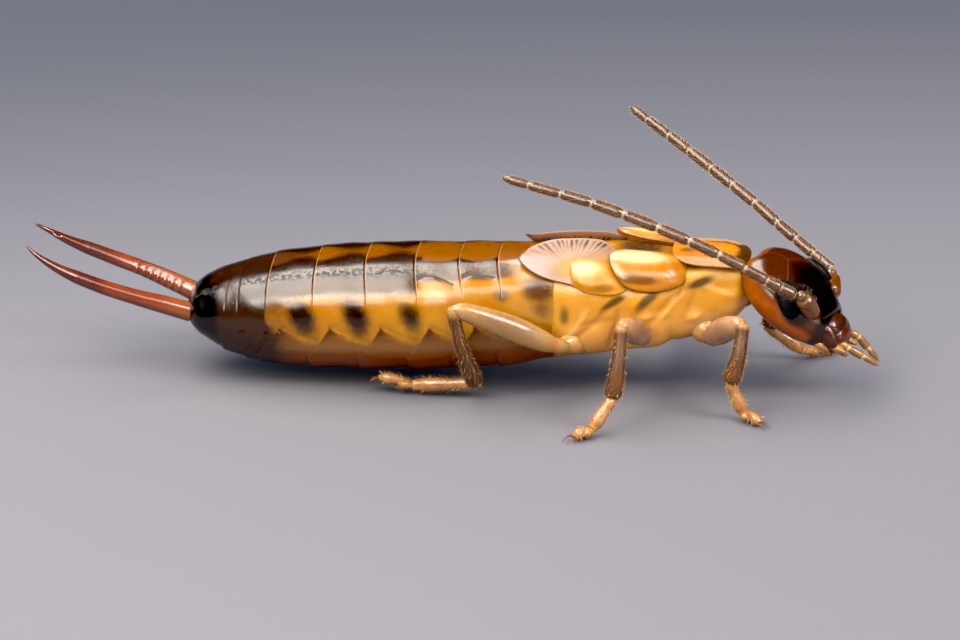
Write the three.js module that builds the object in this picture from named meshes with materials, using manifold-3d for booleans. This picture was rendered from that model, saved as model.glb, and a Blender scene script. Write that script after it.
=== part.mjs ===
import * as THREE from 'three';
import { mergeVertices } from 'three/addons/utils/BufferGeometryUtils.js';
import Module from 'manifold-3d';

// A last-stage earwig nymph standing on a level floor, in its head-up walking pose.
// Millimetres, +X towards the head, +Y the animal's left, +Z up, floor at z = 0.

const wasm = await Module();
wasm.setup();

const v = (x, y, z) => new THREE.Vector3(x, y, z);
const RIGHT = -1;
const LEFT = 1;
const SIDES = { right: RIGHT, left: LEFT };

// Driving dimensions of the whole body
const partingGap = 0.12;
const padGap = 0.16;
const pieceSides = 24;
const limbSides = 8;

// Trunk stations from the abdomen's end to the neck
const trunkStations = [
  { x: -5.2, halfWidth: 0.76, top: 1.42, bottom: 0.87 },
  { x: -4.9, halfWidth: 0.88, top: 1.56, bottom: 0.66 },
  { x: -4.5, halfWidth: 1.04, top: 1.76, bottom: 0.43 },
  { x: -3.9, halfWidth: 1.2, top: 1.95, bottom: 0.22 },
  { x: -3.1, halfWidth: 1.31, top: 2.12, bottom: 0.16 },
  { x: -1.8, halfWidth: 1.37, top: 2.26, bottom: 0.16 },
  { x: -0.4, halfWidth: 1.34, top: 2.33, bottom: 0.21 },
  { x: 0.6, halfWidth: 1.22, top: 2.39, bottom: 0.3 },
  { x: 1.4, halfWidth: 1.12, top: 2.46, bottom: 0.45 },
  { x: 2.3, halfWidth: 1.16, top: 2.5, bottom: 0.6 },
  { x: 3.3, halfWidth: 1.04, top: 2.44, bottom: 0.78 },
  { x: 3.8, halfWidth: 0.8, top: 2.36, bottom: 0.93 },
  { x: 4.4, halfWidth: 0.62, top: 2.3, bottom: 1.2 },
  { x: 4.75, halfWidth: 0.46, top: 2.2, bottom: 1.45 },
];
const dorsalRoundness = 2.5;
const ventralRoundness = 2.05;

// Abdomen: where each back plate ends, from the last plate forwards
const lastPlateFront = -4.4;
const plateJoints = [-4.15, -3.65, -2.81, -1.87, -0.97, -0.17, 0.5];
const abdomenFront = 1.35;
const plateLean = -0.08;
const plateStep = 0.035;
const plateLap = 0.035;
const bellyStep = 0.035;
const bellyEdge = THREE.MathUtils.degToRad(112);

// Thorax
const hindThorax = { rear: abdomenFront + partingGap, front: 2.42 };
const midThorax = { rear: hindThorax.front + partingGap, front: 3.32 };
const foreThorax = { rear: midThorax.front + partingGap, front: 4.75 };
const shield = { rear: 3.4, front: 4.78, halfWidth: 0.8, top: 2.48, frontTop: 2.4, dome: 0.05, depth: 0.24 };
const neck = { rear: 4.6, front: 5.02, radius: 0.3, rise: 1.86, headSide: 0.06 };

// Wing pads, laid over the trunk's shoulders: girth is an angle from the back's middle line
const forePad = {
  rear: 2.34, front: 3.72, girth: 43, span: 27, taper: 0.15, thickness: 0.5, lift: -0.1,
  around: 16, ridgeHeight: 0, tipRise: 0,
};
const hindPad = {
  rear: 0.72, front: 2.7, girth: 38, span: 31, taper: 0.5, thickness: 0.48, lift: -0.08,
  around: 24, ridgeHeight: 0.035, tipRise: 0.1,
};

// Head, in a frame of its own: forward, to its left, and up
const headCentre = v(5.56, -0.157, 1.725);
const headPitch = THREE.MathUtils.degToRad(36);
const headYaw = THREE.MathUtils.degToRad(-19);
const headHalf = { length: 1.05, width: 0.89, height: 0.53, underShare: 0.88 };
const eye = { forward: 0.06, side: 0.67, up: 0.28, long: 0.335, wide: 0.21, deep: 0.18, slope: -40 };

// Forceps, from root to tip, for the left side
const forcepsRoute = [
  v(-5.1, 0.5, 1.16), v(-5.45, 0.6, 1.28), v(-6.0, 0.72, 1.46),
  v(-6.65, 0.77, 1.67), v(-7.35, 0.74, 1.94), v(-7.78, 0.66, 2.18), v(-7.92, 0.58, 2.28),
];
const forcepsRadii = [0.27, 0.27, 0.25, 0.24, 0.22, 0.15, 0.07];

// Legs, joint by joint as they stand
const legs = {
  fore_right: {
    hip: v(3.95, -0.42, 1.22), thigh: v(4.12, -0.82, 1.16), knee: v(4.77, -1.5, 1.66),
    shin: v(4.72, -1.74, 1.18), ankle: v(4.58, -1.82, 0.68), sole: v(4.8, -1.8, 0.14), toe: v(5.13, -2.15, 0.09),
  },
  fore_left: {
    hip: v(3.95, 0.42, 1.22), thigh: v(4.2, 0.82, 1.16), knee: v(5.22, 1.36, 1.58),
    shin: v(5.12, 1.36, 1.1), ankle: v(4.97, 1.28, 0.6), sole: v(5.6, 1.42, 0.14), toe: v(6.06, 1.68, 0.09),
  },
  mid_right: {
    hip: v(2.95, -0.46, 1.08), thigh: v(2.98, -0.94, 1.16), knee: v(2.7, -2.12, 1.76),
    shin: v(2.68, -2.42, 1.18), ankle: v(2.6, -2.6, 0.6), sole: v(2.27, -2.93, 0.14), toe: v(1.99, -3.2, 0.09),
  },
  mid_left: {
    hip: v(2.95, 0.46, 1.08), thigh: v(3.0, 0.94, 1.16), knee: v(2.92, 2.08, 1.72),
    shin: v(2.96, 2.4, 1.18), ankle: v(2.98, 2.6, 0.6), sole: v(2.75, 2.9, 0.14), toe: v(2.5, 3.14, 0.09),
  },
  hind_right: {
    hip: v(1.95, -0.5, 0.96), thigh: v(1.5, -1.32, 1.06), knee: v(-0.29, -1.9, 1.9),
    shin: v(-0.1, -1.78, 1.05), ankle: v(0.04, -1.2, 0.27), sole: v(-1.08, -1.13, 0.17), toe: v(-1.66, -1.12, 0.29),
  },
  hind_left: {
    hip: v(1.95, 0.5, 0.96), thigh: v(1.5, 1.32, 1.04), knee: v(-0.25, 1.9, 1.5),
    shin: v(-0.85, 1.98, 0.95), ankle: v(-1.3, 1.98, 0.3), sole: v(-2.0, 1.96, 0.15), toe: v(-2.48, 2.0, 0.13),
  },
};
const legSizes = {
  fore: { hip: 0.25, thigh: 0.23, thighMiddle: 0.25, knee: 0.2, shin: 0.19, ankle: 0.17, foot: 0.15, sole: 0.18 },
  mid: { hip: 0.25, thigh: 0.23, thighMiddle: 0.25, knee: 0.2, shin: 0.19, ankle: 0.17, foot: 0.15, sole: 0.18 },
  hind: { hip: 0.26, thigh: 0.24, thighMiddle: 0.26, knee: 0.21, shin: 0.2, ankle: 0.18, foot: 0.15, sole: 0.18 },
};
const clawLength = 0.2;
const clawRadius = 0.055;
const clawSpread = 0.07;
const clawDrop = 0.16;

// Antennae and palps, joint by joint as they are held
const antennae = {
  right: {
    socket: v(5.94, -0.8, 1.62), elbow: v(5.73, -1.27, 2.18),
    lash: [v(5.66, -1.3, 2.16), v(5.16, -1.3, 2.41), v(4.32, -1.2, 2.82), v(3.23, -1.0, 3.2),
      v(2.06, -0.78, 3.53), v(0.93, -0.6, 3.76), v(0.36, -0.5, 3.88)],
  },
  left: {
    socket: v(6.24, 0.1, 1.64), elbow: v(6.17, 0.68, 1.9),
    lash: [v(6.1, 0.8, 1.92), v(5.77, 1.12, 2.06), v(5.09, 1.52, 2.47), v(4.67, 1.85, 2.7),
      v(3.42, 2.8, 3.29), v(2.2, 3.8, 3.78)],
  },
};
const scapeRadii = [0.18, 0.2, 0.19];
const lashRadius = 0.22;
const lashTipRadius = 0.13;
const lashTaperStart = 0.6;
const lashBeads = [1.1, 0.75, 0.9, 1, 1.05, 1.05, 1.05, 1, 1, 0.95];
const beadWaist = 0.82;
const lashRootFullness = 0.8;
const palps = {
  right: [v(6.2, -0.6, 1.16), v(6.56, -0.6, 0.95), v(6.82, -0.58, 0.8), v(7.07, -0.54, 0.64)],
  left: [v(6.36, -0.12, 1.12), v(6.62, -0.08, 1.02), v(6.8, -0.06, 0.82), v(7.02, -0.08, 0.56)],
};
const palpRadii = [0.14, 0.13, 0.13, 0.08];

// Turns a closed geometry into a solid, with its points moved by a formula
function solidOf(geometry, place) {
  geometry.deleteAttribute('normal');
  geometry.deleteAttribute('uv');
  const merged = mergeVertices(geometry, 1e-5);
  const position = merged.getAttribute('position');
  const vertProperties = new Float32Array(position.count * 3);
  for (let i = 0; i < position.count; i += 1) {
    place(v().fromBufferAttribute(position, i)).toArray(vertProperties, i * 3);
  }
  const corners = merged.getIndex().array;
  const triVerts = [];
  let volume = 0;
  const at = (corner) => v().fromArray(vertProperties, corner * 3);
  for (let i = 0; i < corners.length; i += 3) {
    const [a, b, c] = corners.slice(i, i + 3);
    if (a !== b && b !== c && c !== a) {
      triVerts.push([a, b, c]);
      volume += at(a).dot(at(b).cross(at(c)));
    }
  }
  const outward = volume > 0 ? triVerts : triVerts.map(([a, b, c]) => [a, c, b]);
  const mesh = new wasm.Mesh({ numProp: 3, vertProperties, triVerts: new Uint32Array(outward.flat()) });
  return new wasm.Manifold(mesh);
}

// A closed solid turned from a profile of [radius, along] pairs, then placed by a formula
function turned(profile, sides, place) {
  const points = profile.map(([radius, along]) => new THREE.Vector2(radius, along));
  const geometry = new THREE.LatheGeometry(points, sides);
  return solidOf(geometry, (p) => place(p.y, Math.hypot(p.x, p.z), Math.atan2(p.x, p.z)));
}

// A ball whose points are placed by a formula of its unit coordinates
function ball(around, rows, place) {
  return solidOf(new THREE.SphereGeometry(1, around, rows), place);
}

const joinAll = (solids) => solids.reduce((whole, piece) => whole.add(piece));
const cutAll = (solid, cutters) => cutters.reduce((whole, cutter) => whole.subtract(cutter), solid);

// Only the largest closed surface of a piece is kept
function largest(solid) {
  const pieces = solid.decompose();
  return pieces.reduce((best, piece) => (piece.volume() > best.volume() ? piece : best));
}

const mix = (list, t) => {
  const place = THREE.MathUtils.clamp(t, 0, 1) * (list.length - 1);
  const i = Math.min(Math.floor(place), list.length - 2);
  return THREE.MathUtils.lerp(list[i], list[i + 1], place - i);
};

// A round limb along a smooth route, with round ends; grown limbs cut the room they need
function limb(route, radii, { grow = 0, sides = limbSides, steps = 6, capSteps = 2 } = {}) {
  const curve = new THREE.CatmullRomCurve3(route, false, 'centripetal');
  const length = curve.getLength();
  const rootRadius = radii[0] + grow;
  const endRadius = radii[radii.length - 1] + grow;
  const profile = [];
  for (let k = 0; k < capSteps; k += 1) {
    const angle = (k / capSteps) * Math.PI / 2;
    profile.push([rootRadius * Math.sin(angle), -rootRadius * Math.cos(angle)]);
  }
  for (let k = 0; k <= steps; k += 1) {
    profile.push([mix(radii, k / steps) + grow, (length * k) / steps]);
  }
  for (let k = capSteps - 1; k >= 0; k -= 1) {
    const angle = (k / capSteps) * Math.PI / 2;
    profile.push([endRadius * Math.sin(angle), length + endRadius * Math.cos(angle)]);
  }
  return turned(profile, sides, alongCurve(curve, length));
}

// Places a turned point beside a curve
function alongCurve(curve, length) {
  const middle = curve.getTangentAt(0.5);
  const across = ['x', 'y', 'z'].sort((a, b) => Math.abs(middle[a]) - Math.abs(middle[b]))[0];
  const reference = v(0, 0, 0);
  reference[across] = 1;
  return (along, radius, angle) => {
    const t = THREE.MathUtils.clamp(along / length, 0, 1);
    const tangent = curve.getTangentAt(t);
    const sideways = tangent.clone().cross(reference).normalize();
    const upward = sideways.clone().cross(tangent);
    return curve.getPointAt(t)
      .addScaledVector(tangent, along - t * length)
      .addScaledVector(sideways, radius * Math.cos(angle))
      .addScaledVector(upward, radius * Math.sin(angle));
  };
}

// Trunk: its size at any place along it, smooth through the stations
function trunkAt(x) {
  const last = trunkStations.length - 2;
  const next = trunkStations.findIndex((station) => station.x > x);
  const i = next === -1 ? last : Math.max(next - 1, 0);
  const [before, from, to, after] = [i - 1, i, i + 1, i + 2]
    .map((k) => trunkStations[THREE.MathUtils.clamp(k, 0, last + 1)]);
  const span = to.x - from.x;
  const t = (x - from.x) / span;
  const smooth = (key) => {
    const slopeFrom = (to[key] - before[key]) / (to.x - before.x);
    const slopeTo = (after[key] - from[key]) / (after.x - from.x);
    const near = (1 + 2 * t) * (1 - t) ** 2 * from[key] + t * (1 - t) ** 2 * span * slopeFrom;
    const far = t * t * (3 - 2 * t) * to[key] + t * t * (t - 1) * span * slopeTo;
    return near + far;
  };
  return { halfWidth: smooth('halfWidth'), top: smooth('top'), bottom: smooth('bottom') };
}

const signedPower = (value, power) => Math.sign(value) * Math.abs(value) ** power;

// A point on the trunk's skin; the angle starts at the back's middle line and runs to the left
function onTrunk(x, angle, scale = 1) {
  const { halfWidth, top, bottom } = trunkAt(x);
  const middle = (top + bottom) / 2;
  const roundness = Math.cos(angle) > 0 ? dorsalRoundness : ventralRoundness;
  const sideways = halfWidth * signedPower(Math.sin(angle), 2 / roundness);
  const upward = (top - middle) * signedPower(Math.cos(angle), 2 / roundness);
  return v(x, sideways * scale, middle + upward * scale);
}

function outwardAt(x, angle) {
  const step = 0.02;
  const along = onTrunk(x, angle + step).sub(onTrunk(x, angle - step));
  return v(0, -along.z, along.y).multiplyScalar(-1).normalize();
}

// The plates' edges lie further to the rear on the back than under the belly, less and less through the hind thorax
const leanAt = (x) => {
  const upright = (hindThorax.front - x) / (hindThorax.front - abdomenFront);
  return plateLean * THREE.MathUtils.clamp(upright, 0, 1);
};

// A length of the trunk between two flat faces
function trunkPiece(rings, belly = 0) {
  const profile = [[0, rings[0].x], ...rings.map(({ x, scale = 1 }) => [scale, x]), [0, rings.at(-1).x]];
  return turned(profile, pieceSides, (x, radius, angle) => {
    const { top, bottom } = trunkAt(x);
    const inset = Math.abs(angle) > bellyEdge ? 1 - belly : 1;
    const point = onTrunk(x, angle, radius * inset);
    point.x += leanAt(x) * (point.z - (top + bottom) / 2);
    return point;
  });
}

const evenRings = (from, to, count) => Array.from({ length: count }, (unused, k) => ({
  x: THREE.MathUtils.lerp(from, to, k / (count - 1)),
}));

// Abdomen: plates that each lap over the one behind
function plateRings(edges) {
  const rings = [];
  edges.slice(0, -1).forEach((rear, i) => {
    const front = edges[i + 1];
    const rise = plateStep / trunkAt(rear).halfWidth;
    rings.push({ x: rear, scale: 1 + rise });
    rings.push({ x: THREE.MathUtils.lerp(rear, front, 0.5), scale: 1 + rise * 0.5 });
    rings.push({ x: front - plateLap, scale: 1 });
  });
  rings.at(-1).x = edges.at(-1);
  return rings;
}

function buildAbdomen() {
  const edges = [lastPlateFront + partingGap / 2, ...plateJoints, abdomenFront];
  const whole = trunkPiece(plateRings(edges), bellyStep);
  return cutAll(whole, [...bothPads(hindPad), ...thighCutters('hind')]);
}

function buildAbdomenTip() {
  const rear = trunkStations[0].x;
  const front = lastPlateFront - partingGap / 2;
  const rings = [{ x: rear, scale: 0.92 }, { x: rear + 0.06 }, { x: -4.9 }, { x: -4.65 }, { x: front }];
  return cutAll(trunkPiece(rings, bellyStep), [LEFT, RIGHT].map((side) => forcepsSolid(side, partingGap)));
}

// Forceps: slim, bowed apart in the middle and hooked up and in at the tips
function forcepsSolid(side, grow = 0) {
  const route = forcepsRoute.map((p) => v(p.x, p.y * side, p.z));
  return limb(route, forcepsRadii, { grow, steps: 10 });
}

// Wing pads: lens-like flaps sunk in the shoulders, the hind ones with fan ridges
function padSolid(pad, side, grow = 0) {
  const halfLength = (pad.front - pad.rear) / 2;
  const centre = (pad.front + pad.rear) / 2;
  return ball(pad.around, 6, (p) => {
    const along = p.x * (halfLength + grow);
    const towardTip = (1 - p.x) / 2;
    const narrowing = 1 - pad.taper * towardTip ** 2;
    const x = centre + along;
    const reach = trunkAt(x).halfWidth;
    const span = THREE.MathUtils.degToRad(pad.span) * narrowing + grow / reach;
    const angle = THREE.MathUtils.degToRad(pad.girth) - p.z * span;
    const spoke = Math.round((Math.atan2(p.z, p.x) / (2 * Math.PI)) * pad.around);
    const onRidge = spoke % 2 === 0 && p.y > 0.2 && p.y < 0.98;
    const ridge = onRidge ? pad.ridgeHeight : 0;
    const lift = pad.lift + pad.tipRise * towardTip ** 2;
    const offset = lift + p.y * (pad.thickness / 2 + grow) + ridge;
    return onTrunk(x, angle * side).addScaledVector(outwardAt(x, angle * side), offset);
  });
}

const bothPads = (pad) => [LEFT, RIGHT].map((side) => padSolid(pad, side, padGap));

// Legs
const legKind = (name) => legSizes[name.split('_')[0]];

function thighSolid(name, grow = 0) {
  const { hip, thigh, knee } = legs[name];
  const size = legKind(name);
  const coxa = limb([hip, thigh], [size.hip, size.thigh], { grow, steps: 1 });
  const femur = limb([thigh, knee], [size.thigh, size.thighMiddle, size.knee], { grow, steps: 2 });
  return coxa.add(femur);
}

function shinSolid(name, grow = 0) {
  const { knee, shin, ankle } = legs[name];
  const size = legKind(name);
  return limb([knee, shin, ankle], [size.knee, size.shin, size.ankle], { grow, steps: 3 });
}

function footSolid(name, grow = 0) {
  const { ankle, sole, toe } = legs[name];
  const size = legKind(name);
  const radii = [size.ankle * 0.9, size.foot, size.sole, size.foot * 0.8, size.foot * 0.7];
  const foot = limb([ankle, sole, toe], radii, { grow, steps: 5 });
  return grow > 0 ? foot : joinAll([foot, ...claws(sole, toe)]);
}

// Two hooked claws at the end of a foot
function claws(sole, toe) {
  const ahead = toe.clone().sub(sole).setZ(0).normalize();
  const sideways = v(-ahead.y, ahead.x, 0);
  return [-1, 1].map((side) => {
    const root = toe.clone().addScaledVector(sideways, side * clawSpread * 0.5);
    const bend = root.clone().addScaledVector(ahead, clawLength * 0.6).addScaledVector(sideways, side * clawSpread);
    const tip = root.clone().addScaledVector(ahead, clawLength).addScaledVector(sideways, side * clawSpread * 1.2);
    bend.z = toe.z * 1.1;
    tip.z = Math.max(clawRadius * 0.6, toe.z - clawDrop);
    return limb([root, bend, tip], [clawRadius, clawRadius * 0.8, clawRadius * 0.4], { sides: 5, steps: 2, capSteps: 1 });
  });
}

const floorDepth = 2;
const floorBlock = solidOf(new THREE.BoxGeometry(30, 20, floorDepth), (p) => v(p.x, p.y, p.z - floorDepth / 2));
const thighCutters = (kind) => Object.keys(SIDES).map((side) => thighSolid(`${kind}_${side}`, partingGap));

function legPieces(name) {
  return {
    thigh: cutAll(thighSolid(name), [shinSolid(name, partingGap)]),
    shin: cutAll(shinSolid(name), [footSolid(name, partingGap)]),
    foot: footSolid(name).subtract(floorBlock),
  };
}

// Thorax
function buildHindThorax() {
  const whole = trunkPiece(evenRings(hindThorax.rear, hindThorax.front, 5));
  return cutAll(whole, [...bothPads(hindPad), ...bothPads(forePad), ...thighCutters('hind'), ...thighCutters('mid')]);
}

function buildMidThorax() {
  const whole = trunkPiece(evenRings(midThorax.rear, midThorax.front, 5));
  return cutAll(whole, [...bothPads(hindPad), ...bothPads(forePad), ...thighCutters('mid')]);
}

// The flat neck shield, with round corners and a thin rim
function shieldSolid() {
  const halfLength = (shield.front - shield.rear) / 2;
  const centre = (shield.front + shield.rear) / 2;
  return ball(20, 6, (p) => {
    const outline = Math.hypot(p.x, p.z);
    const direction = Math.atan2(p.z, p.x);
    const [ux, uz] = [Math.cos(direction), Math.sin(direction)];
    const corner = (Math.abs(ux) ** 3.4 + Math.abs(uz) ** 3.4) ** (-1 / 3.4);
    const reach = outline ** 0.6 * corner;
    const x = centre + ux * reach * halfLength;
    const y = -uz * reach * shield.halfWidth;
    const rim = THREE.MathUtils.mapLinear(x, shield.rear, shield.front, shield.top, shield.frontTop);
    return v(x, y, rim + p.y * (p.y > 0 ? shield.dome : shield.depth));
  });
}

function neckSolid(grow = 0) {
  const route = [v(neck.rear, 0, neck.rise), v(neck.front, neck.headSide, neck.rise)];
  return limb(route, [neck.radius, neck.radius], { grow, steps: 1, sides: 12 });
}

function buildForeThorax() {
  const whole = trunkPiece(evenRings(foreThorax.rear, foreThorax.front, 7));
  const flatRear = solidOf(new THREE.BoxGeometry(2, 4, 6), (p) => v(p.x + foreThorax.rear - 1, p.y, p.z + 2));
  const cutters = [flatRear, ...bothPads(forePad), ...thighCutters('fore'), ...thighCutters('mid')];
  const bare = cutAll(whole.add(shieldSolid()), [...cutters, capsuleSolid(partingGap)]);
  return bare.add(neckSolid());
}

// Head
const headForward = v(1, 0, 0).applyAxisAngle(v(0, 1, 0), headPitch).applyAxisAngle(v(0, 0, 1), headYaw);
const headLeft = v(0, 1, 0).applyAxisAngle(v(0, 0, 1), headYaw);
const headUp = headForward.clone().cross(headLeft);
const onHead = (forward, left, up) => headCentre.clone()
  .addScaledVector(headForward, forward)
  .addScaledVector(headLeft, left)
  .addScaledVector(headUp, up);

// The head capsule: broad and round behind, narrower and lower towards the mouth
function capsuleSolid(grow = 0) {
  const rows = 12;
  const profile = Array.from({ length: rows + 1 }, (unused, k) => {
    const t = -Math.cos((Math.PI * k) / rows);
    return [(1 - Math.abs(t) ** 2.3) ** (1 / 2.3), t];
  });
  profile[0][0] = 0;
  profile[rows][0] = 0;
  return turned(profile, pieceSides, (t, radius, angle) => {
    const ahead = Math.max(t, 0);
    const behind = Math.max(-t, 0);
    const width = headHalf.width * (1 - 0.36 * ahead ** 1.6 - 0.1 * behind ** 2);
    const height = headHalf.height * (1 - 0.22 * ahead ** 2);
    const left = (width + grow) * radius * signedPower(Math.sin(angle), 0.92);
    const upright = Math.cos(angle);
    const share = upright < 0 ? headHalf.underShare : 1;
    const up = (height * share + grow) * radius * signedPower(upright, 0.92) - 0.1 * ahead ** 2;
    const notch = 0.1 * behind ** 3 * Math.exp(-((left / 0.3) ** 2));
    return onHead((headHalf.length + grow) * t + notch, left, up);
  });
}

// A rounded lobe set in the head's frame
function headLobe({ at, half, turn = 0 }) {
  const [forward, left, up] = at;
  const tilt = THREE.MathUtils.degToRad(turn);
  return ball(10, 6, (p) => {
    const a = p.x * half[0];
    const c = p.z * half[2];
    return onHead(forward + a * Math.cos(tilt) - c * Math.sin(tilt), left + p.y * half[1],
      up + a * Math.sin(tilt) + c * Math.cos(tilt));
  });
}

const mouthLobes = [
  { at: [0.93, 0, 0.12], half: [0.27, 0.33, 0.19], turn: -35 },
  { at: [1.12, 0, 0.02], half: [0.24, 0.26, 0.15], turn: -35 },
  { at: [1.04, 0.25, -0.08], half: [0.25, 0.13, 0.17] },
  { at: [1.04, -0.25, -0.08], half: [0.25, 0.13, 0.17] },
  { at: [0.78, 0.28, -0.22], half: [0.36, 0.14, 0.13] },
  { at: [0.78, -0.28, -0.22], half: [0.36, 0.14, 0.13] },
  { at: [0.74, 0, -0.26], half: [0.36, 0.16, 0.11] },
];

function eyeSolid(side, grow = 0) {
  const slope = THREE.MathUtils.degToRad(eye.slope);
  return ball(12, 8, (p) => {
    const a = p.x * (eye.long + grow);
    const c = p.z * (eye.wide + grow);
    return onHead(eye.forward + a * Math.cos(slope) - c * Math.sin(slope),
      side * (eye.side + p.y * (eye.deep + grow)), eye.up + a * Math.sin(slope) + c * Math.cos(slope));
  });
}

function scapeSolid(side, grow = 0) {
  const { socket, elbow } = antennae[side];
  return limb([socket, elbow], scapeRadii, { grow, steps: 2 });
}

const palpSolid = (side, grow = 0) => limb(palps[side], palpRadii, { grow, steps: 5, sides: 7 });

function buildHead() {
  const whole = joinAll([capsuleSolid(), ...mouthLobes.map(headLobe)]);
  const names = Object.keys(SIDES);
  return cutAll(whole, [
    neckSolid(partingGap),
    ...names.map((side) => eyeSolid(SIDES[side], partingGap)),
    ...names.map((side) => scapeSolid(side, partingGap)),
    ...names.map((side) => palpSolid(side, partingGap)),
  ]);
}

// The antenna's lash: a row of beads that thins towards the tip
function lashSolid(side, grow = 0) {
  const curve = new THREE.CatmullRomCurve3(antennae[side].lash, false, 'centripetal');
  const length = curve.getLength();
  const whole = lashBeads.reduce((sum, bead) => sum + bead, 0);
  const radiusAt = (t) => {
    const thinning = THREE.MathUtils.clamp((t - lashTaperStart) / (1 - lashTaperStart), 0, 1);
    return THREE.MathUtils.lerp(lashRadius, lashTipRadius, thinning);
  };
  const rootRadius = lashRadius * lashRootFullness + grow;
  const profile = [[0, -rootRadius], [rootRadius * Math.SQRT1_2, -rootRadius * Math.SQRT1_2]];
  let start = 0;
  lashBeads.forEach((bead) => {
    const end = start + bead / whole;
    const radius = radiusAt((start + end) / 2);
    [[0.02, beadWaist], [0.32, 1], [0.78, 1]].forEach(([part, fullness]) => {
      const t = THREE.MathUtils.lerp(start, end, part);
      profile.push([radius * fullness + grow, t * length]);
    });
    start = end;
  });
  profile.push([0, length + lashTipRadius * 0.8]);
  return turned(profile, 8, alongCurve(curve, length));
}

// The model
const model = new THREE.Group();
model.name = 'earwig_nymph';

function addPiece(name, solid, color, roughness = 0.4) {
  const mesh = largest(solid).getMesh();
  const geometry = new THREE.BufferGeometry();
  geometry.setAttribute('position', new THREE.BufferAttribute(mesh.vertProperties, 3));
  geometry.setIndex(new THREE.BufferAttribute(mesh.triVerts, 1));
  geometry.computeVertexNormals();
  const piece = new THREE.Mesh(geometry, new THREE.MeshStandardMaterial({ color, roughness, metalness: 0 }));
  piece.name = name;
  model.add(piece);
}

addPiece('head', buildHead(), 0x6b2f0f, 0.25);
addPiece('prothorax', buildForeThorax(), 0xc98a35);
addPiece('mesothorax', buildMidThorax(), 0xcf9240);
addPiece('metathorax', buildHindThorax(), 0xcf9240);
addPiece('abdomen', buildAbdomen(), 0x8a4a1c, 0.3);
addPiece('abdomen_tip', buildAbdomenTip(), 0x2a1108, 0.3);
Object.entries(SIDES).forEach(([name, side]) => {
  const feeler = [scapeSolid(name, partingGap), lashSolid(name, partingGap)];
  addPiece(`eye_${name}`, cutAll(eyeSolid(side), feeler), 0x0c0c10, 0.2);
  addPiece(`antenna_base_${name}`, cutAll(scapeSolid(name), [lashSolid(name, partingGap)]), 0xb06a20);
  addPiece(`antenna_${name}`, lashSolid(name), 0x5a4432);
  addPiece(`palp_${name}`, palpSolid(name), 0xc8905a);
  addPiece(`forewing_pad_${name}`, padSolid(forePad, side), 0xe0a840, 0.3);
  addPiece(`hindwing_pad_${name}`, padSolid(hindPad, side).subtract(padSolid(forePad, side, padGap)), 0xc99a58, 0.3);
  addPiece(`forceps_${name}`, forcepsSolid(side), 0x6a2e14, 0.25);
});
Object.keys(legs).forEach((name) => {
  const [pair, side] = name.split('_');
  const pieces = legPieces(name);
  addPiece(`femur_${pair}_${side}`, pieces.thigh, 0xd8b07a);
  addPiece(`tibia_${pair}_${side}`, pieces.shin, 0x96653c);
  addPiece(`tarsus_${pair}_${side}`, pieces.foot, 0xc98428);
});

// The origin is at the middle of the model's box, on the floor
const box = new THREE.Box3().setFromObject(model);
const middle = box.getCenter(v());
model.children.forEach((piece) => piece.position.set(-middle.x, -middle.y, -box.min.z));

export default model;
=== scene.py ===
import math
import bpy
import numpy as np
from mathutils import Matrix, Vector


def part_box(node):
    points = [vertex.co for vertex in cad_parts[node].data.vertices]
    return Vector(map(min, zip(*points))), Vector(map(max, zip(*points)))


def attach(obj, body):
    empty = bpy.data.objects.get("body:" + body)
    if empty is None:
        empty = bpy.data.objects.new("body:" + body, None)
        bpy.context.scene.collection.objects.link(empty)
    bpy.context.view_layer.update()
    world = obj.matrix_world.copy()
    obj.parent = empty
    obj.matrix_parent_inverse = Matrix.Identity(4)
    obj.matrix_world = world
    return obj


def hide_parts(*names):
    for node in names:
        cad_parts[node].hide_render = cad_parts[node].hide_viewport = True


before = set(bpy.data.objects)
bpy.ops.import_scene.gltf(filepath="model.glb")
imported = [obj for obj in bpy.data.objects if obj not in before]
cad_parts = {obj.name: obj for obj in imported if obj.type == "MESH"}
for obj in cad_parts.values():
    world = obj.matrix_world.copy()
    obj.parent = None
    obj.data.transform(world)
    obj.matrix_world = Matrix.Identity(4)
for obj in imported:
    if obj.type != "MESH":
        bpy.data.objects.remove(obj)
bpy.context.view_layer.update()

# All sizes below are in millimetres on the animal's own axes: +X to its head, +Y to its left, floor at 0.
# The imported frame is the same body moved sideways, and this reads how far from one of its nodes.
millimetre = 0.001
midThoraxFront = 3.32
midLow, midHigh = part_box("mesothorax")
frameShift = np.array([midHigh.x / millimetre - midThoraxFront, (midLow.y + midHigh.y) / 2 / millimetre, 0.0])
sides = (("right", -1), ("left", 1))

def hexColour(code):
    channels = [int(code[i:i + 2], 16) / 255 for i in (1, 3, 5)]
    linear = [c / 12.92 if c <= 0.04045 else ((c + 0.055) / 1.055) ** 2.4 for c in channels]
    return (*linear, 1.0)

def addNode(tree, kind, settings=None, inputs=None):
    made = tree.nodes.new(kind)
    for name, value in (settings or {}).items():
        setattr(made, name, value)
    for name, value in (inputs or {}).items():
        if isinstance(value, bpy.types.NodeSocket):
            tree.links.new(value, made.inputs[name])
        else:
            made.inputs[name].default_value = value
    return made

def newMaterial(name):
    material = bpy.data.materials.new(name)
    material.use_nodes = True
    tree = material.node_tree
    place = addNode(tree, "ShaderNodeTexCoord").outputs["Object"]
    return material, tree, tree.nodes["Principled BSDF"], place

def newObject(name, data):
    made = bpy.data.objects.new(name, data)
    bpy.context.scene.collection.objects.link(made)
    return made

# Shape helpers: rise and fall go between 0 and 1 over a range, and hump does both
def rise(low, high, value):
    t = np.clip((np.asarray(value, float) - low) / (high - low), 0, 1)
    return t * t * (3 - 2 * t)

def fall(low, high, value):
    return 1 - rise(low, high, value)

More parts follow.
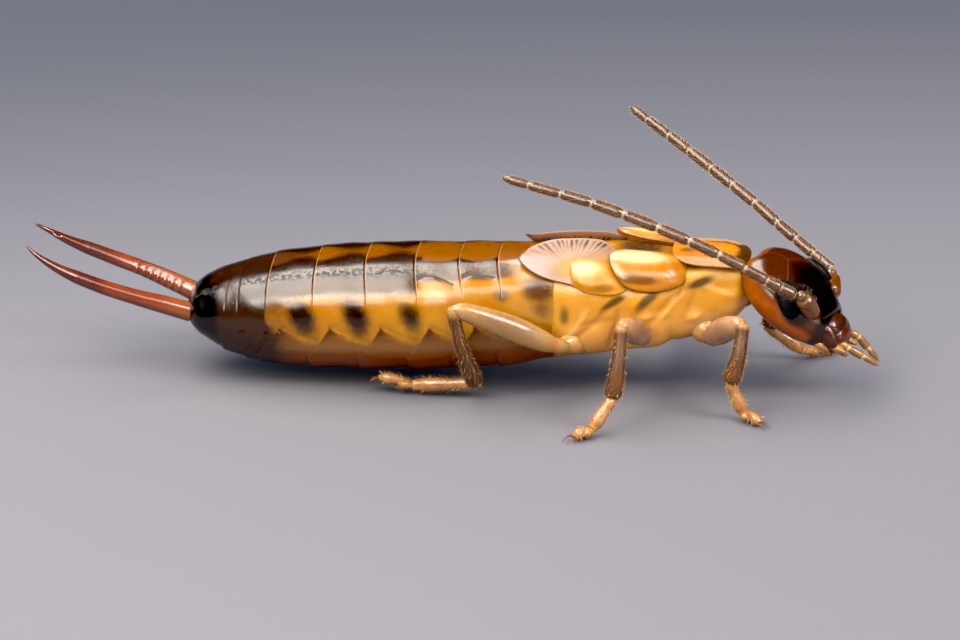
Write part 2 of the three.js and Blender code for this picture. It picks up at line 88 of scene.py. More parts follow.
def hump(risesFrom, risesTo, fallsFrom, fallsTo, value):
    return rise(risesFrom, risesTo, value) * fall(fallsFrom, fallsTo, value)

def hill(value, centre, half):
    return np.exp(-((np.asarray(value, float) - centre) / half) ** 2)

# A soft oval mark over two ways, 1 in its middle, and flatter on top the higher its power
def blot(first, second, middle, half, power=1):
    return np.exp(-(((first - middle[0]) / half[0]) ** 2 + ((second - middle[1]) / half[1]) ** 2) ** power)

def unit(vectors):
    length = np.linalg.norm(vectors, axis=-1, keepdims=True)
    return vectors / np.maximum(length, 1e-9)

def turns(columns):
    return np.linspace(0, 2 * math.pi, columns, endpoint=False)

# A globe's grid: -1 to 1 from pole to pole, and the turn round it
def globe(rows, columns, inset, firstTurn=0.0):
    return np.meshgrid(-np.cos(np.linspace(inset, math.pi - inset, rows)), turns(columns) + firstTurn, indexing="ij")

# The faces of a grid of rings along a body and columns round it, closed with one point at each end
def wrapFaces(rings, columns):
    ring, column = np.meshgrid(np.arange(rings - 1), np.arange(columns), indexing="ij")
    here = ring * columns + column
    beside = ring * columns + (column + 1) % columns
    quads = np.stack([here, beside, beside + columns, here + columns], axis=-1).reshape(-1, 4)
    startPole = rings * columns
    lastRing = startPole - columns
    around = [(a, (a + 1) % columns) for a in range(columns)]
    starts = [(startPole, b, a) for a, b in around]
    ends = [(startPole + 1, lastRing + a, lastRing + b) for a, b in around]
    return quads.tolist() + starts + ends

# Six times the space inside a closed skin of faces, negative when it is inside out
def signedSpace(points, faces):
    corners = np.array([(face[0], face[k], face[k + 1]) for face in faces for k in range(1, len(face) - 1)])
    a, b, c = (points[corners[:, k]] for k in range(3))
    return float(np.einsum("ij,ij->", a, np.cross(b, c)))

# Gathers closed shells, so that one piece can hold many of them
class Shape:
    discCore, discReach = 0.05, 0.9    # where a tube's start and end lie on its unwrap, as shares of the disc

    def __init__(self, unwrapped=False):
        self.points, self.faces, self.marks, self.count = [], [], {}, 0
        self.unwrapped, self.discs = unwrapped, 0

    def add(self, points, faces, marks):
        if signedSpace(points - points.mean(axis=0), faces) < 0:
            faces = [tuple(reversed(face)) for face in faces]
        self.faces += [tuple(i + self.count for i in face) for face in faces]
        for name in set(self.marks) | set(marks):
            values = self.marks.setdefault(name, [np.zeros(self.count)] if self.count else [])
            values.append(marks.get(name, np.zeros(len(points))))
        self.points.append(points)
        self.count += len(points)

    # Marks are given for each point, each ring or the whole grid
    def addGrid(self, grid, marks=None, poles=None):
        rings, columns = grid.shape[:2]
        if poles is None:
            poles = grid[0].mean(axis=0), grid[-1].mean(axis=0)
        marks = dict(marks or {})
        if self.unwrapped:
            # Each tube unwraps to a disc: its start in the middle, its end at the rim
            ring = self.discCore + self.discReach * np.linspace(0, 1, rings)[:, None]
            marks.update({"discU": ring * np.cos(turns(columns)), "discV": ring * np.sin(turns(columns)),
                          "disc": self.discs})
            self.discs += 1
        spread = {}
        for name, values in marks.items():
            values = np.broadcast_to(np.asarray(values, float), (rings, columns))
            spread[name] = np.concatenate([values.reshape(-1), [values[0].mean(), values[-1].mean()]])
        self.add(np.concatenate([grid.reshape(-1, 3), poles]), wrapFaces(rings, columns), spread)

    def addTube(self, route, radii, columns, marks=None, flat=1.0):
        self.addGrid(tubeGrid(route, radii, columns, flat), marks, (route[0], route[-1]))

    # The shape as an object that isn't yet known to the frame
    def bare(self, name, material):
        points = (np.concatenate(self.points) + frameShift) * millimetre
        points[:, 2] = np.maximum(points[:, 2], 0.0)    # nothing goes through the floor
        mesh = bpy.data.meshes.new(name)
        mesh.from_pydata(points.tolist(), [], self.faces)
        for mark, values in self.marks.items():
            attribute = mesh.attributes.new(mark, "FLOAT", "POINT")
            attribute.data.foreach_set("value", np.concatenate(values).astype(np.float32))
        mesh.polygons.foreach_set("use_smooth", [True] * len(mesh.polygons))
        mesh.materials.append(material)
        mesh.update()
        return newObject(name, mesh)

    def piece(self, name, slotName, material, replaced=()):
        return settle(self.bare(name, material), replaced)

def settle(made, replaced=()):
    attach(made, "root")
    if replaced:
        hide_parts(*replaced)
    return made

# Floor, lights and camera
stageSizes = {
    "floorHalf": 900.0, "floorPoints": 9,
    # painted shade darkens the floor over this far behind the animal
    "floorNear": "#565254", "floorFar": "#34363C", "falloffReach": 24.0,
    "falloffSlant": -0.45,
    "cameraRise": 20.0,    # degrees above the floor
    "cameraTurn": 6.3,     # degrees from square-on to the flank
    "cameraDistance": 263.0,
    "lens": 562.0, "sensor": 36.0, "clipNear": 5.0, "clipFar": 5000.0,
    "target": (-0.036, 0.323, 0.894),
    "roomColour": "#AABCDC", "roomStrength": 2.6, "blackLevel": 0.012,
}

def floorPaint():
    # Pale card with painted shade, darker towards the back and left, that only takes a soft shadow
    material, tree, shader, place = newMaterial("mattPaperFloor")
    where = addNode(tree, "ShaderNodeSeparateXYZ", {}, {0: place})
    leftward = addNode(tree, "ShaderNodeMath", {"operation": "MULTIPLY"},
                       {0: where.outputs["X"], 1: stageSizes["falloffSlant"]})
    backLeft = addNode(tree, "ShaderNodeMath", {"operation": "ADD"}, {0: where.outputs["Y"], 1: leftward.outputs[0]})
    dusk = addNode(tree, "ShaderNodeMapRange", {"interpolation_type": "SMOOTHSTEP"},
                   {"Value": backLeft.outputs[0], 1: 0.0, 2: stageSizes["falloffReach"] * millimetre})
    tint = addNode(tree, "ShaderNodeMix", {"data_type": "RGBA"},
                   {0: dusk.outputs[0], 6: hexColour(stageSizes["floorNear"]), 7: hexColour(stageSizes["floorFar"])})
    tree.links.new(tint.outputs[2], shader.inputs["Base Color"])
    shader.inputs["Roughness"].default_value = 0.9
    return material

def turnedTo(thing, place, target):
    thing.location = place
    thing.rotation_euler = (Vector(target) - Vector(place)).to_track_quat("-Z", "Y").to_euler()

def stagePoint(x, y, z):
    return Vector(((x + frameShift[0]) * millimetre, (y + frameShift[1]) * millimetre, z * millimetre))

# A floor wide enough to fill every view from above it
def makeFloor(material):
    half, count = stageSizes["floorHalf"], stageSizes["floorPoints"]
    steps = np.linspace(-half, half, count)
    points = [stagePoint(x, y, 0.0) for y in steps for x in steps]
    starts = [row * count + column for row in range(count - 1) for column in range(count - 1)]
    mesh = bpy.data.meshes.new("studioFloor")
    mesh.from_pydata(points, [], [(i, i + 1, i + count + 1, i + count) for i in starts])
    mesh.polygons.foreach_set("use_smooth", [True] * len(mesh.polygons))
    mesh.materials.append(material)
    newObject("studioFloor", mesh)

# Soft boxes: place, target, width and height in mm, strength in milliwatts, colour
softBoxes = {
    # the long highlight down the flank
    "canopyBox": ((-19.0, -17.0, 40.0), (-19.0, -17.0, 0.0), 30.0, 104.0, 90.0, "#FFFAF0"),
    # lights the flank and brightens the highlight's lower half
    "frontBox": ((2.0, -29.0, 42.0), (0.0, 0.0, 1.0), 66.0, 15.0, 17.0, "#FFF8EE"),
    # the shine on the crown and face
    "headBox": ((36.0, -16.0, 38.0), (5.0, 0.0, 1.7), 22.0, 22.0, 30.0, "#FFFAF2"),
    # what a pale bench throws back under the body: it lights, but nothing mirrors it
    "lowFill": ((4.0, -60.0, 11.0), (0.0, 0.0, 0.5), 90.0, 20.0, 24.0, "#F2F4FF"),
    "sideFill": ((84.0, -52.0, 18.0), (0.0, 0.0, 1.0), 50.0, 24.0, 14.0, "#FFF8EE"),
}

def makeLights():
    for name, (place, target, width, height, power, colour) in softBoxes.items():
        light = bpy.data.lights.new(name, "AREA")
        light.shape = "RECTANGLE"
        light.size = width * millimetre
        light.size_y = height * millimetre
        light.energy = power * 0.001
        light.color = hexColour(colour)[:3]
        holder = newObject(name, light)
        turnedTo(holder, stagePoint(*place), stagePoint(*target))
        holder.visible_glossy = name != "lowFill"
    world = bpy.data.worlds.new("paleRoom")
    world.use_nodes = True
    background = world.node_tree.nodes["Background"]
    background.inputs["Color"].default_value = hexColour(stageSizes["roomColour"])
    background.inputs["Strength"].default_value = stageSizes["roomStrength"]
    world.cycles_visibility.glossy = False    # fills the shadows without greying the glossy blacks
    bpy.context.scene.world = world

def makeCamera():
    rising, turn = math.radians(stageSizes["cameraRise"]), math.radians(stageSizes["cameraTurn"])
    toCamera = Vector((math.sin(turn) * math.cos(rising), -math.cos(turn) * math.cos(rising), math.sin(rising)))
    target = stagePoint(*stageSizes["target"])
    data = bpy.data.cameras.new("photoCamera")
    data.sensor_width = stageSizes["sensor"]
    data.lens = stageSizes["lens"]
    data.clip_start = stageSizes["clipNear"] * millimetre
    data.clip_end = stageSizes["clipFar"] * millimetre
    camera = newObject("photoCamera", data)
    turnedTo(camera, target + toCamera * (stageSizes["cameraDistance"] * millimetre), target)
    bpy.context.scene.camera = camera

makeFloor(floorPaint())
makeLights()
makeCamera()
viewSettings = bpy.context.scene.view_settings
viewSettings.view_transform = "Standard"
viewSettings.use_curve_mapping = True
viewSettings.curve_mapping.black_level = (stageSizes["blackLevel"],) * 3    # deep blacks, as a camera gives
print("floor, lights and camera made")

# Cuticle: the animal's skin, thin hard chitin that light soaks into.
# Layers are painted in order: a mark on the mesh, the hex colour it gives, and how strongly it covers.
# Sizes of clouds, pits, waves and soak are in mm, and roughness goes from the first value to the second.
cuticleDefaults = {"layers": (), "ragged": 0.25, "gloss": 0.5, "coat": 0.0, "clear": 0.0}
speckleSize = 0.09
chitin = {"IOR": 1.56, "Coat Roughness": 0.12, "Subsurface Radius": (1.0, 0.45, 0.15)}    # red goes deepest
mattRoughness = 0.6

def cuticle(name, given):
    look = {**cuticleDefaults, **given}
    material, tree, shader, place = newMaterial(name)

    def noise(size, detail, roughness=0.5):
        inputs = {"Vector": place, "Scale": 1 / (millimetre * size), "Detail": detail, "Roughness": roughness}
        return addNode(tree, "ShaderNodeTexNoise", {}, inputs).outputs["Fac"]

    def marked(mark):
        return addNode(tree, "ShaderNodeAttribute", {"attribute_name": mark}).outputs["Fac"]

    def ranged(value, *limits, kind="LINEAR"):
        return addNode(tree, "ShaderNodeMapRange", {"interpolation_type": kind},
                       {"Value": value, **dict(enumerate(limits, 1))}).outputs[0]

    def mixed(share, under, over):
        return addNode(tree, "ShaderNodeMix", {"data_type": "RGBA"}, {0: share, 6: under, 7: over}).outputs[2]

    def scaledSum(value, factor, other):
        return addNode(tree, "ShaderNodeMath", {"operation": "MULTIPLY_ADD"}, {0: value, 1: factor, 2: other})

    def raisedBy(height, strength, distance, **more):
        inputs = {"Height": height, "Strength": strength, "Distance": distance * millimetre, **more}
        return addNode(tree, "ShaderNodeBump", {}, inputs).outputs["Normal"]

    speckle = noise(speckleSize, 4.0, 0.65)
    colour = mixed(ranged(noise(look["cloudSize"], 3.0), 0.35, 0.65), *map(hexColour, look["base"]))
    ragged = look["ragged"]
    for mark, code, cover in look["layers"]:
        edge = scaledSum(speckle, ragged, marked(mark)).outputs[0]
        share = ranged(edge, ragged * 0.5 + 0.05, ragged * 0.5 + 0.95, 0.0, cover, kind="SMOOTHSTEP")
        colour = mixed(share, colour, hexColour(code))
    tree.links.new(colour, shader.inputs["Base Color"])

    pits = addNode(tree, "ShaderNodeTexVoronoi", {"feature": "F1"},
                   {"Vector": place, "Scale": 1 / (millimetre * look["pitSpacing"])})
    dimple = ranged(pits.outputs["Distance"], 0.0, 0.35, kind="SMOOTHSTEP")
    waves = noise(look["waveSize"], 2.0)
    normal = raisedBy(scaledSum(waves, look["waveShare"], dimple).outputs[0], look["bump"], look["pitDepth"])
    if "scuffs" in look:
        # Scuffs where a mark lies break up the light it mirrors: the mark, their depth and size
        mark, depth, size = look["scuffs"]
        normal = raisedBy(ranged(noise(size, 5.0, 0.7), 0.5, 0.75), marked(mark), depth, Normal=normal)
    tree.links.new(normal, shader.inputs["Normal"])

    rough = ranged(waves, 0.3, 0.7, *look["roughness"])
    if "matt" in look:
        # A mark that mirrors nothing, such as the bottom of a crease
        dulled = scaledSum(marked(look["matt"]), mattRoughness, rough)
        dulled.use_clamp = True
        rough = dulled.outputs[0]
    tree.links.new(rough, shader.inputs["Roughness"])
    fixed = {**chitin, "Specular IOR Level": look["gloss"], "Coat Weight": look["coat"],
             "Transmission Weight": look["clear"], "Subsurface Weight": look["soak"],
             "Subsurface Scale": look["soakDepth"] * millimetre}
    for socket, value in fixed.items():
        shader.inputs[socket].default_value = value
    return material

# A smooth route through points, in even steps
def smoothRoute(points, count):
    points = np.asarray(points, float)
    gaps = np.linalg.norm(np.diff(points, axis=0), axis=1) ** 0.5
    knots = np.concatenate([[0], np.cumsum(gaps)])
    padded = np.concatenate([[2 * points[0] - points[1]], points, [2 * points[-1] - points[-2]]])
    times = np.concatenate([[-gaps[0]], knots, [knots[-1] + gaps[-1]]])
    t = np.linspace(0, knots[-1], count)
    i = np.clip(np.searchsorted(knots, t, side="right"), 1, len(points) - 1)
    t = t[:, None]
    time = [times[i + k][:, None] for k in (-1, 0, 1, 2)]
    rows = [padded[i + k] for k in (-1, 0, 1, 2)]
    # Each round blends neighbours over a span of knots: one knot wide, then two, then the middle one again
    for width, firsts in ((1, (0, 1, 2)), (2, (0, 1)), (1, (1,))):
        rows = [((time[k + width] - t) * rows[n] + (t - time[k]) * rows[n + 1]) / (time[k + width] - time[k])
                for n, k in enumerate(firsts)]
    curve = rows[0]
    lengths = np.concatenate([[0], np.cumsum(np.linalg.norm(np.diff(curve, axis=0), axis=1))])
    return alongRoute(curve, np.linspace(0, lengths[-1], count), lengths)

# Points of a route where a length, or failing that a count of its steps, is reached
def alongRoute(route, where, lengths=None):
    if lengths is None:
        lengths = np.arange(len(route))
    return np.stack([np.interp(where, lengths, route[:, k]) for k in range(3)], axis=-1)

def shareAlong(route):
    return np.linspace(0, 1, len(route))

# Steady frames along a route: two directions square to it at every point
def routeFrames(route):
    along = unit(np.gradient(route, axis=0))
    side = np.zeros_like(route)
    first = np.cross((0.0, 0.0, 1.0), along[0])
    side[0] = unit(first if np.linalg.norm(first) > 0.1 else np.cross((0, 1, 0), along[0]))
    for i in range(1, len(route)):
        side[i] = unit(side[i - 1] - along[i] * np.dot(side[i - 1], along[i]))
    return along, side, np.cross(along, side)

def tubeGrid(route, radii, columns, flat=1.0):
    along, side, up = routeFrames(route)
    radii = np.asarray(radii, float)
    if radii.ndim == 1:
        radii = radii[:, None]
    across = np.cos(turns(columns)) * radii
    upward = np.sin(turns(columns)) * radii * flat
    return route[:, None, :] + side[:, None, :] * across[..., None] + up[:, None, :] * upward[..., None]

# The trunk's form, the same rule as the solid's
trunkStations = np.array([    # along, half width, top, bottom
    (-5.2, 0.76, 1.42, 0.87), (-4.9, 0.88, 1.56, 0.66), (-4.5, 1.04, 1.76, 0.43), (-3.9, 1.2, 1.95, 0.22),
    (-3.1, 1.31, 2.12, 0.16), (-1.8, 1.37, 2.26, 0.16), (-0.4, 1.34, 2.33, 0.21), (0.6, 1.22, 2.39, 0.3),
    (1.4, 1.12, 2.46, 0.45), (2.3, 1.16, 2.5, 0.6), (3.3, 1.04, 2.44, 0.78), (3.8, 0.8, 2.36, 0.93),
    (4.4, 0.62, 2.3, 1.2), (4.75, 0.46, 2.2, 1.45)])
backRoundness, bellyRoundness = 2.5, 2.05
fullestPlace = -1.8    # where the trunk is widest
outlineSteps = 4001    # fine enough to measure the way round it

def trunkAt(along):
    along = np.asarray(along, float)
    knots = trunkStations[:, 0]
    last = len(knots) - 2
    i = np.clip(np.searchsorted(knots, along, side="right") - 1, 0, last)
    before, after = np.clip(i - 1, 0, last + 1), np.clip(i + 2, 0, last + 1)
    span = knots[i + 1] - knots[i]
    t = (along - knots[i]) / span
    values = []
    for v in trunkStations[:, 1:].T:
        slopeFrom = (v[i + 1] - v[before]) / (knots[i + 1] - knots[before])
        slopeTo = (v[after] - v[i]) / (knots[after] - knots[i])
        near = (1 + 2 * t) * (1 - t) ** 2 * v[i] + t * (1 - t) ** 2 * span * slopeFrom
        values.append(near + t * t * (3 - 2 * t) * v[i + 1] + t * t * (t - 1) * span * slopeTo)
    return values    # half width, top, bottom

def signedPower(value, power):
    return np.sign(value) * np.abs(value) ** power

def onTrunk(along, angle):
    halfWidth, top, bottom = trunkAt(along)
    middle = (top + bottom) / 2
    power = 2 / np.where(np.cos(angle) > 0, backRoundness, bellyRoundness)
    upward = (top - middle) * signedPower(np.cos(angle), power)
    return np.stack(np.broadcast_arrays(along, halfWidth * signedPower(np.sin(angle), power), middle + upward), axis=-1)

# The trunk's skin raised by a height at each place
def raisedTrunk(along, angle, raised):
    step = 0.004
    across = onTrunk(along, angle + step) - onTrunk(along, angle - step)
    lengthwise = onTrunk(along + step, angle) - onTrunk(along - step, angle)
    return onTrunk(along, angle) + unit(np.cross(lengthwise, across)) * raised[..., None]

# Draws each ring in to a share of its size round its middle
def squeezed(grid, share):
    middle = grid.mean(axis=1, keepdims=True)
    return middle + (grid - middle) * share[..., None], middle

# Places and angles over the trunk: even steps, and tight ones where an edge is sharp
def trunkGrid(look, edges, reach, fine):
    turn = np.linspace(-math.pi, math.pi, outlineSteps)
    outline = onTrunk(np.full_like(turn, fullestPlace), turn)
    length = np.concatenate([[0], np.cumsum(np.linalg.norm(np.diff(outline, axis=0), axis=1))])
    angles = np.interp(np.linspace(0, length[-1], look["columns"] + 1)[:-1], length, turn)
    start, end = look["rear"], look["front"]
    places = list(np.arange(start, end, look["step"])) + [end]
    for edge in edges:
        places += list(np.arange(max(edge - reach, start), min(edge + reach, end), fine))
    places = np.unique(np.round(places, 5))
    places = places[np.concatenate([[True], np.diff(places) > fine * 0.55])]
    along, angle = np.meshgrid(places, angles, indexing="ij")
    return along, angle, np.abs(np.degrees(angle))

# How near each place is to a straight line between two (along, degrees): distance in mm, and the share of the way
def fromLine(along, degrees, start, end, perDegree):
    way = np.array([end[0] - start[0], (end[1] - start[1]) * perDegree])
    across, up = along - start[0], (degrees - start[1]) * perDegree
    share = np.clip((across * way[0] + up * way[1]) / way.dot(way), 0, 1)
    return np.hypot(across - share * way[0], up - share * way[1]), share

# Abdomen
abdomenLook = {
    "rear": -5.14, "front": 1.46, "columns": 216, "step": 0.0225, "edgeReach": 0.07, "edgeStep": 0.009,
    "plateJoints": (-4.38, -4.15, -3.65, -2.81, -1.87, -0.97, -0.17, 0.5),
    "plateRise": 0.01,         # how far a plate's rear edge stands over the next plate
    "plateEnd": 1.5, "bellyEnd": 1.25,
    "bellyJoints": (-4.46, -4.05, -3.82, -2.93, -2.03, -1.17, -0.38, 0.4),
    "bellyRise": 0.03,
    # how far an edge lies back on top
    "leanPlaces": (-3.7, -2.8, -1.9, -0.2, 0.6), "leanSizes": (0.0, 0.03, 0.1, 0.16, 0.14),
    # degrees from the back where back plates end, and how far each tooth reaches down
    "foldFrom": 87.5, "foldSweep": 17.0,
    "seamDepth": 0.02, "bellySeamDepth": 0.012, "foldDepth": 0.018, "creaseDepth": 0.02, "skinDepth": 0.02,
    "perDegree": 0.0223,       # a degree round the flank, in mm
    "fore": (-1.0, -0.94),     # where the amber forward plates start
}
# Dark spots: along, degrees from the back, half length, half height in degrees, darkness
sideSpots = ((-3.0, 78, 0.27, 19, 1.0), (-2.05, 78, 0.25, 19, 1.0), (-1.08, 79, 0.22, 15, 0.85),
             (-0.42, 84, 0.13, 9, 0.3))
frontSpots = ((0.5, 62, 0.17, 9, 0.75), (1.13, 61, 0.3, 16, 1.0), (1.2, 80, 0.2, 10, 0.65))
# Creases in the light band: points as along, degrees
creaseLines = (((-1.0, 41), (-0.85, 36), (-0.7, 37), (-0.53, 42), (-0.36, 48)),
               ((-0.2, 40), (-0.06, 36), (0.13, 38), (0.34, 41)))

# The step from one plate to the next: 1 on a plate's raised rear edge, falling forward along it
def plateSaw(along, joints, sharp, lastLength=0.9):
    saw = np.zeros_like(along)
    for rear, front in zip(joints, (*joints[1:], joints[-1] + lastLength)):
        share = (along - rear) / (front - rear)
        saw += hump(rear - sharp, rear, front - sharp, front, along) * (1 - np.clip(share, 0, 1)) ** 1.6
    return saw

def spotsOf(listed, along, degrees):
    shown = np.zeros_like(along)
    for centre, height, halfLong, halfHigh, darkness in listed:
        leaning = along - 0.006 * (degrees - height)
        shown = np.maximum(shown, darkness * blot(leaning, degrees, (centre, height), (halfLong, halfHigh), 1.3))
    return shown

def abdomenShape():
    look = abdomenLook
    plate, angle, degrees = trunkGrid(look, look["plateJoints"], look["edgeReach"], look["edgeStep"])
    along = plate - np.interp(plate, look["leanPlaces"], look["leanSizes"]) * fall(5, 72, degrees)
    # Belly plates meet the back plates along a saw-toothed line, and their edges slope forward up the side
    bellyAlong = along - np.clip((122 - degrees) / 34, 0, 1.3) * 0.42
    tooth = np.zeros_like(along)
    shade = np.zeros_like(along)
    for rear, front in zip(look["bellyJoints"], (*look["bellyJoints"][1:], look["bellyEnd"])):
        inside = (bellyAlong >= rear) & (bellyAlong < front)
        tooth = np.where(inside, np.clip((along - 0.4 - rear) / (front - rear), 0, 1.2), tooth)
        shade = np.where(inside, hill(bellyAlong, rear, 0.13), shade)
    foldAngle = look["foldFrom"] + look["foldSweep"] * tooth ** 0.9
    onBelly = rise(foldAngle - 1.5, foldAngle + 1.5, degrees)
    onBack = 1 - onBelly
    seam = sum(hill(plate, joint - 0.01, 0.008) for joint in look["plateJoints"])
    paleEdge = sum(hill(plate, joint + 0.01, 0.01) for joint in look["plateJoints"])
    bellySeam = sum(hill(bellyAlong, joint - 0.004, 0.016) for joint in look["bellyJoints"])
    crease = np.zeros_like(along)
    for points in creaseLines:
        for start, end in zip(points, points[1:]):
            crease = np.maximum(crease, hill(fromLine(along, degrees, start, end, look["perDegree"])[0], 0, 0.03))

    backRaise = look["plateRise"] * plateSaw(plate, look["plateJoints"], 0.01)
    backRaise *= (0.3 + 0.7 * rise(-4.3, -3.4, along)) * fall(60, 95, degrees)
    bellyRaise = look["bellyRise"] * plateSaw(bellyAlong, look["bellyJoints"], 0.012) * rise(88, 96, degrees)
    swell = (0.006 * np.sin(along * 5.1 + np.sin(angle * 3) * 1.2) * np.sin(angle * 2 + 0.6)
             + 0.003 * np.sin(along * 11 + angle * 5))
    raised = (backRaise * onBack + bellyRaise * onBelly + swell
              - look["foldDepth"] * hill(degrees, foldAngle, 3.0) * rise(-4.2, -3.6, along)
              - look["seamDepth"] * seam * onBack * (1 - 0.8 * rise(58, 74, degrees))
              - look["bellySeamDepth"] * bellySeam * onBelly - look["creaseDepth"] * crease)
    # The last plate closes in a blunt round end
    startShare = np.clip((along - look["rear"]) / 0.3, 0, 1)
    endShare = np.clip((look["front"] - along) / 0.05, 0, 1)
    blunt = (0.4 + 0.6 * np.sqrt(1 - (1 - startShare) ** 2)) * (0.8 + 0.2 * endShare ** 0.5)
    grid, middle = squeezed(raisedTrunk(along, angle, raised - look["skinDepth"]), blunt)

    rearBlack = fall(-4.66, -4.4, along + 0.2 * fall(12, 34, degrees))
    rearBrown = fall(-3.69, -3.62 + 0.5 * rise(80, 96, degrees), along)
    forward = rise(*look["fore"], along)
    rearward = 1 - forward
    patches = np.zeros_like(along)
    for rear, front in zip(look["plateJoints"][2:], (*look["plateJoints"][3:], look["plateEnd"])):
        share = (plate - rear) / (front - rear)
        patches += blot(share, degrees, (0.7, 14), (0.42, 15), 1.4) * ((plate >= rear) & (plate < front))
    # On two of the forward plates the band is dark outside an arch
    arch = np.zeros_like(along)
    for rear, front in zip(look["plateJoints"][5:7], look["plateJoints"][6:8]):
        share = (plate - (rear + front) / 2) / ((front - rear) / 2)
        height = (degrees - 4) / 20 - np.sqrt(np.maximum(1 - share ** 2, 0)) * 0.58
        arch += np.where(np.abs(share) < 1, rise(0.0, 0.4, height), 0)
    band = np.clip(0.85 * hump(5, 16, 34, 48, degrees) + patches, 0, 1) * rearward
    band += (0.85 * arch + 0.3 * rise(12, 18, degrees)) * fall(21, 29, degrees) * forward
    backSeam = seam * onBack * (0.35 + 0.65 * rise(30, 50, degrees)) * (1 - 0.8 * rise(58, 72, degrees))
    toothLine = blot(degrees, tooth, (foldAngle, 0), (11, 0.45))
    marks = {
        "spot": spotsOf(sideSpots, along, degrees),
        "brownSpot": spotsOf(frontSpots, along, degrees),
        "rearBlack": rearBlack,
        "rearBrown": np.maximum(rearBrown * (1 - 0.25 * fall(8, 22, degrees)),
                                0.6 * fall(-3.5, -2.9, along) * hump(8, 20, 40, 75, degrees)),
        # the crease's darkness is painted shade, laid over its real groove
        "crease": crease,
        "mottle": hill(degrees, 31, 6) * (1 - 0.6 * forward) + 0.12 * fall(-3.7, -3.5, along),
        "stripe": fall(16, 26, degrees) * (1 - rearBlack),
        "band": np.clip(band * fall(0.45, 0.8, along), 0, 1),
        "silver": (hump(27, 35, 52, 64, degrees) * rearward
                   + 0.95 * hump(20, 25, 38, 50, degrees) * forward * fall(0.4, 1.0, along)),
        "dusk": fall(-3.6, -2.7, along) * (1 - 0.35 * rise(60, 80, degrees)),
        "paleEdge": np.clip(paleEdge * (1 - 0.85 * rise(56, 70, degrees)) * onBack * rise(-4.3, -3.6, along), 0, 1),
        "seam": (1 - 0.8 * rearBlack) * np.clip(bellySeam * onBelly * 0.9 + backSeam, 0, 1),
        "flank": np.maximum(rise(foldAngle - 4, foldAngle + 9, degrees), 0.55 * onBelly),
        "belly": rise(106, 122, degrees),
        "bellyRim": rise(124, 136, degrees),
        "toothShade": rise(-3.9, -3.6, along) * onBelly * (0.3 * shade + 0.75 * toothLine),
        "mauve": onBelly * hill(degrees, 108, 7) * rise(-3.9, -3.4, along),
        "pale": rise(0.2, 1.1, along) * onBack,
    }
    shape = Shape()
    shape.addGrid(grid, marks, (middle[0, 0] - (0.02, 0, 0), middle[-1, 0]))
    return shape

# polished thin chitin over soft tissue: warm glow under a hard gloss
abdomenCuticle = cuticle("amberAbdomenCuticle", {
    "base": ("#845002", "#8E5E08"), "cloudSize": 0.4, "ragged": 0.4,
    "layers": (("pale", "#8A5C1C", 0.9), ("silver", "#20100A", 0.88), ("flank", "#663E0E", 0.82),
               ("mauve", "#7A5238", 0.3), ("belly", "#662A02", 0.85), ("bellyRim", "#6A2A06", 0.85),
               ("toothShade", "#34160A", 0.9), ("stripe", "#5A2C02", 0.85), ("dusk", "#34180A", 0.75),
               ("band", "#160501", 0.95), ("rearBrown", "#1E0C04", 0.94), ("brownSpot", "#3A1C06", 0.94),
               # the crease layer is painted shade
               ("crease", "#0C0402", 0.9), ("spot", "#100301", 0.98), ("rearBlack", "#040202", 0.98),
               ("paleEdge", "#94683C", 0.5), ("seam", "#301206", 0.55)),
    "pitSpacing": 0.045, "pitDepth": 0.004, "waveSize": 0.3, "waveShare": 1.2, "bump": 0.4,
    "scuffs": ("mottle", 0.007, 0.07), "matt": "crease",
    "roughness": (0.14, 0.24), "soak": 0.25, "soakDepth": 0.25,
})
abdomenPiece = abdomenShape().piece("abdomenShell", "abdomen_plates", abdomenCuticle, ("abdomen", "abdomen_tip"))
print("abdomen made:", len(abdomenPiece.data.vertices), "points")

# Thorax: soft side walls, the neck shield and the wing pads
thoraxLook = {
    "rear": 1.37, "front": 4.76, "columns": 200, "step": 0.034, "edgeReach": 0.1, "edgeStep": 0.016,
    "waists": ((2.48, 0.03), (3.42, 0.035)),    # creases between its three rings, and how deep
    "neck": ((4.55, 0.0, 1.84), (5.02, 0.06, 1.84)), "neckRadius": 0.27, "skinDepth": 0.015,
    "perDegree": 1.15 * math.pi / 180,          # a degree round the flank, in mm
}
# Dark marks on the sides and the back: along, degrees, half length, half height in degrees, slant, strength
sideMarks = ((2.47, 77, 0.25, 5, -16, 1.0), (3.05, 75, 0.24, 7.5, -22, 1.0), (1.6, 88, 0.1, 9, 0, 0.7),
             (3.93, 57, 0.24, 7, -10, 1.0), (3.6, 66, 0.08, 7, -20, 0.5))
backMarks = ((2.84, 0, 0.5, 28, 0, 1.0), (3.3, 4, 0.12, 10, 0, 0.5))
# Folds that run from a leg's root up and forward: from and to (along, degrees), depth, width
sideFolds = (((1.62, 120), (2.45, 78), 0.022, 0.06), ((1.62, 112), (2.0, 84), -0.02, 0.06),
             ((2.75, 118), (3.55, 70), 0.02, 0.06), ((2.55, 86), (2.35, 130), 0.024, 0.06),
             ((3.28, 96), (3.62, 72), -0.018, 0.06), ((3.66, 100), (3.85, 70), 0.018, 0.06),
             ((4.0, 60), (4.5, 84), -0.016, 0.09), ((1.9, 96), (2.5, 92), 0.014, 0.06),
             ((2.9, 92), (3.4, 90), -0.014, 0.07))
# Swellings over the leg roots and under the shield's brim: along, degrees, half length, half height, height
swellings = ((1.95, 126, 0.42, 20, 0.06), (2.98, 132, 0.34, 18, 0.07), (3.98, 128, 0.34, 20, 0.05),
             (3.84, 100, 0.12, 7, 0.07), (2.0, 70, 0.34, 13, 0.04), (2.95, 76, 0.36, 12, 0.05),
             (4.2, 84, 0.35, 14, 0.04), (4.05, 42, 0.55, 16, 0.17))

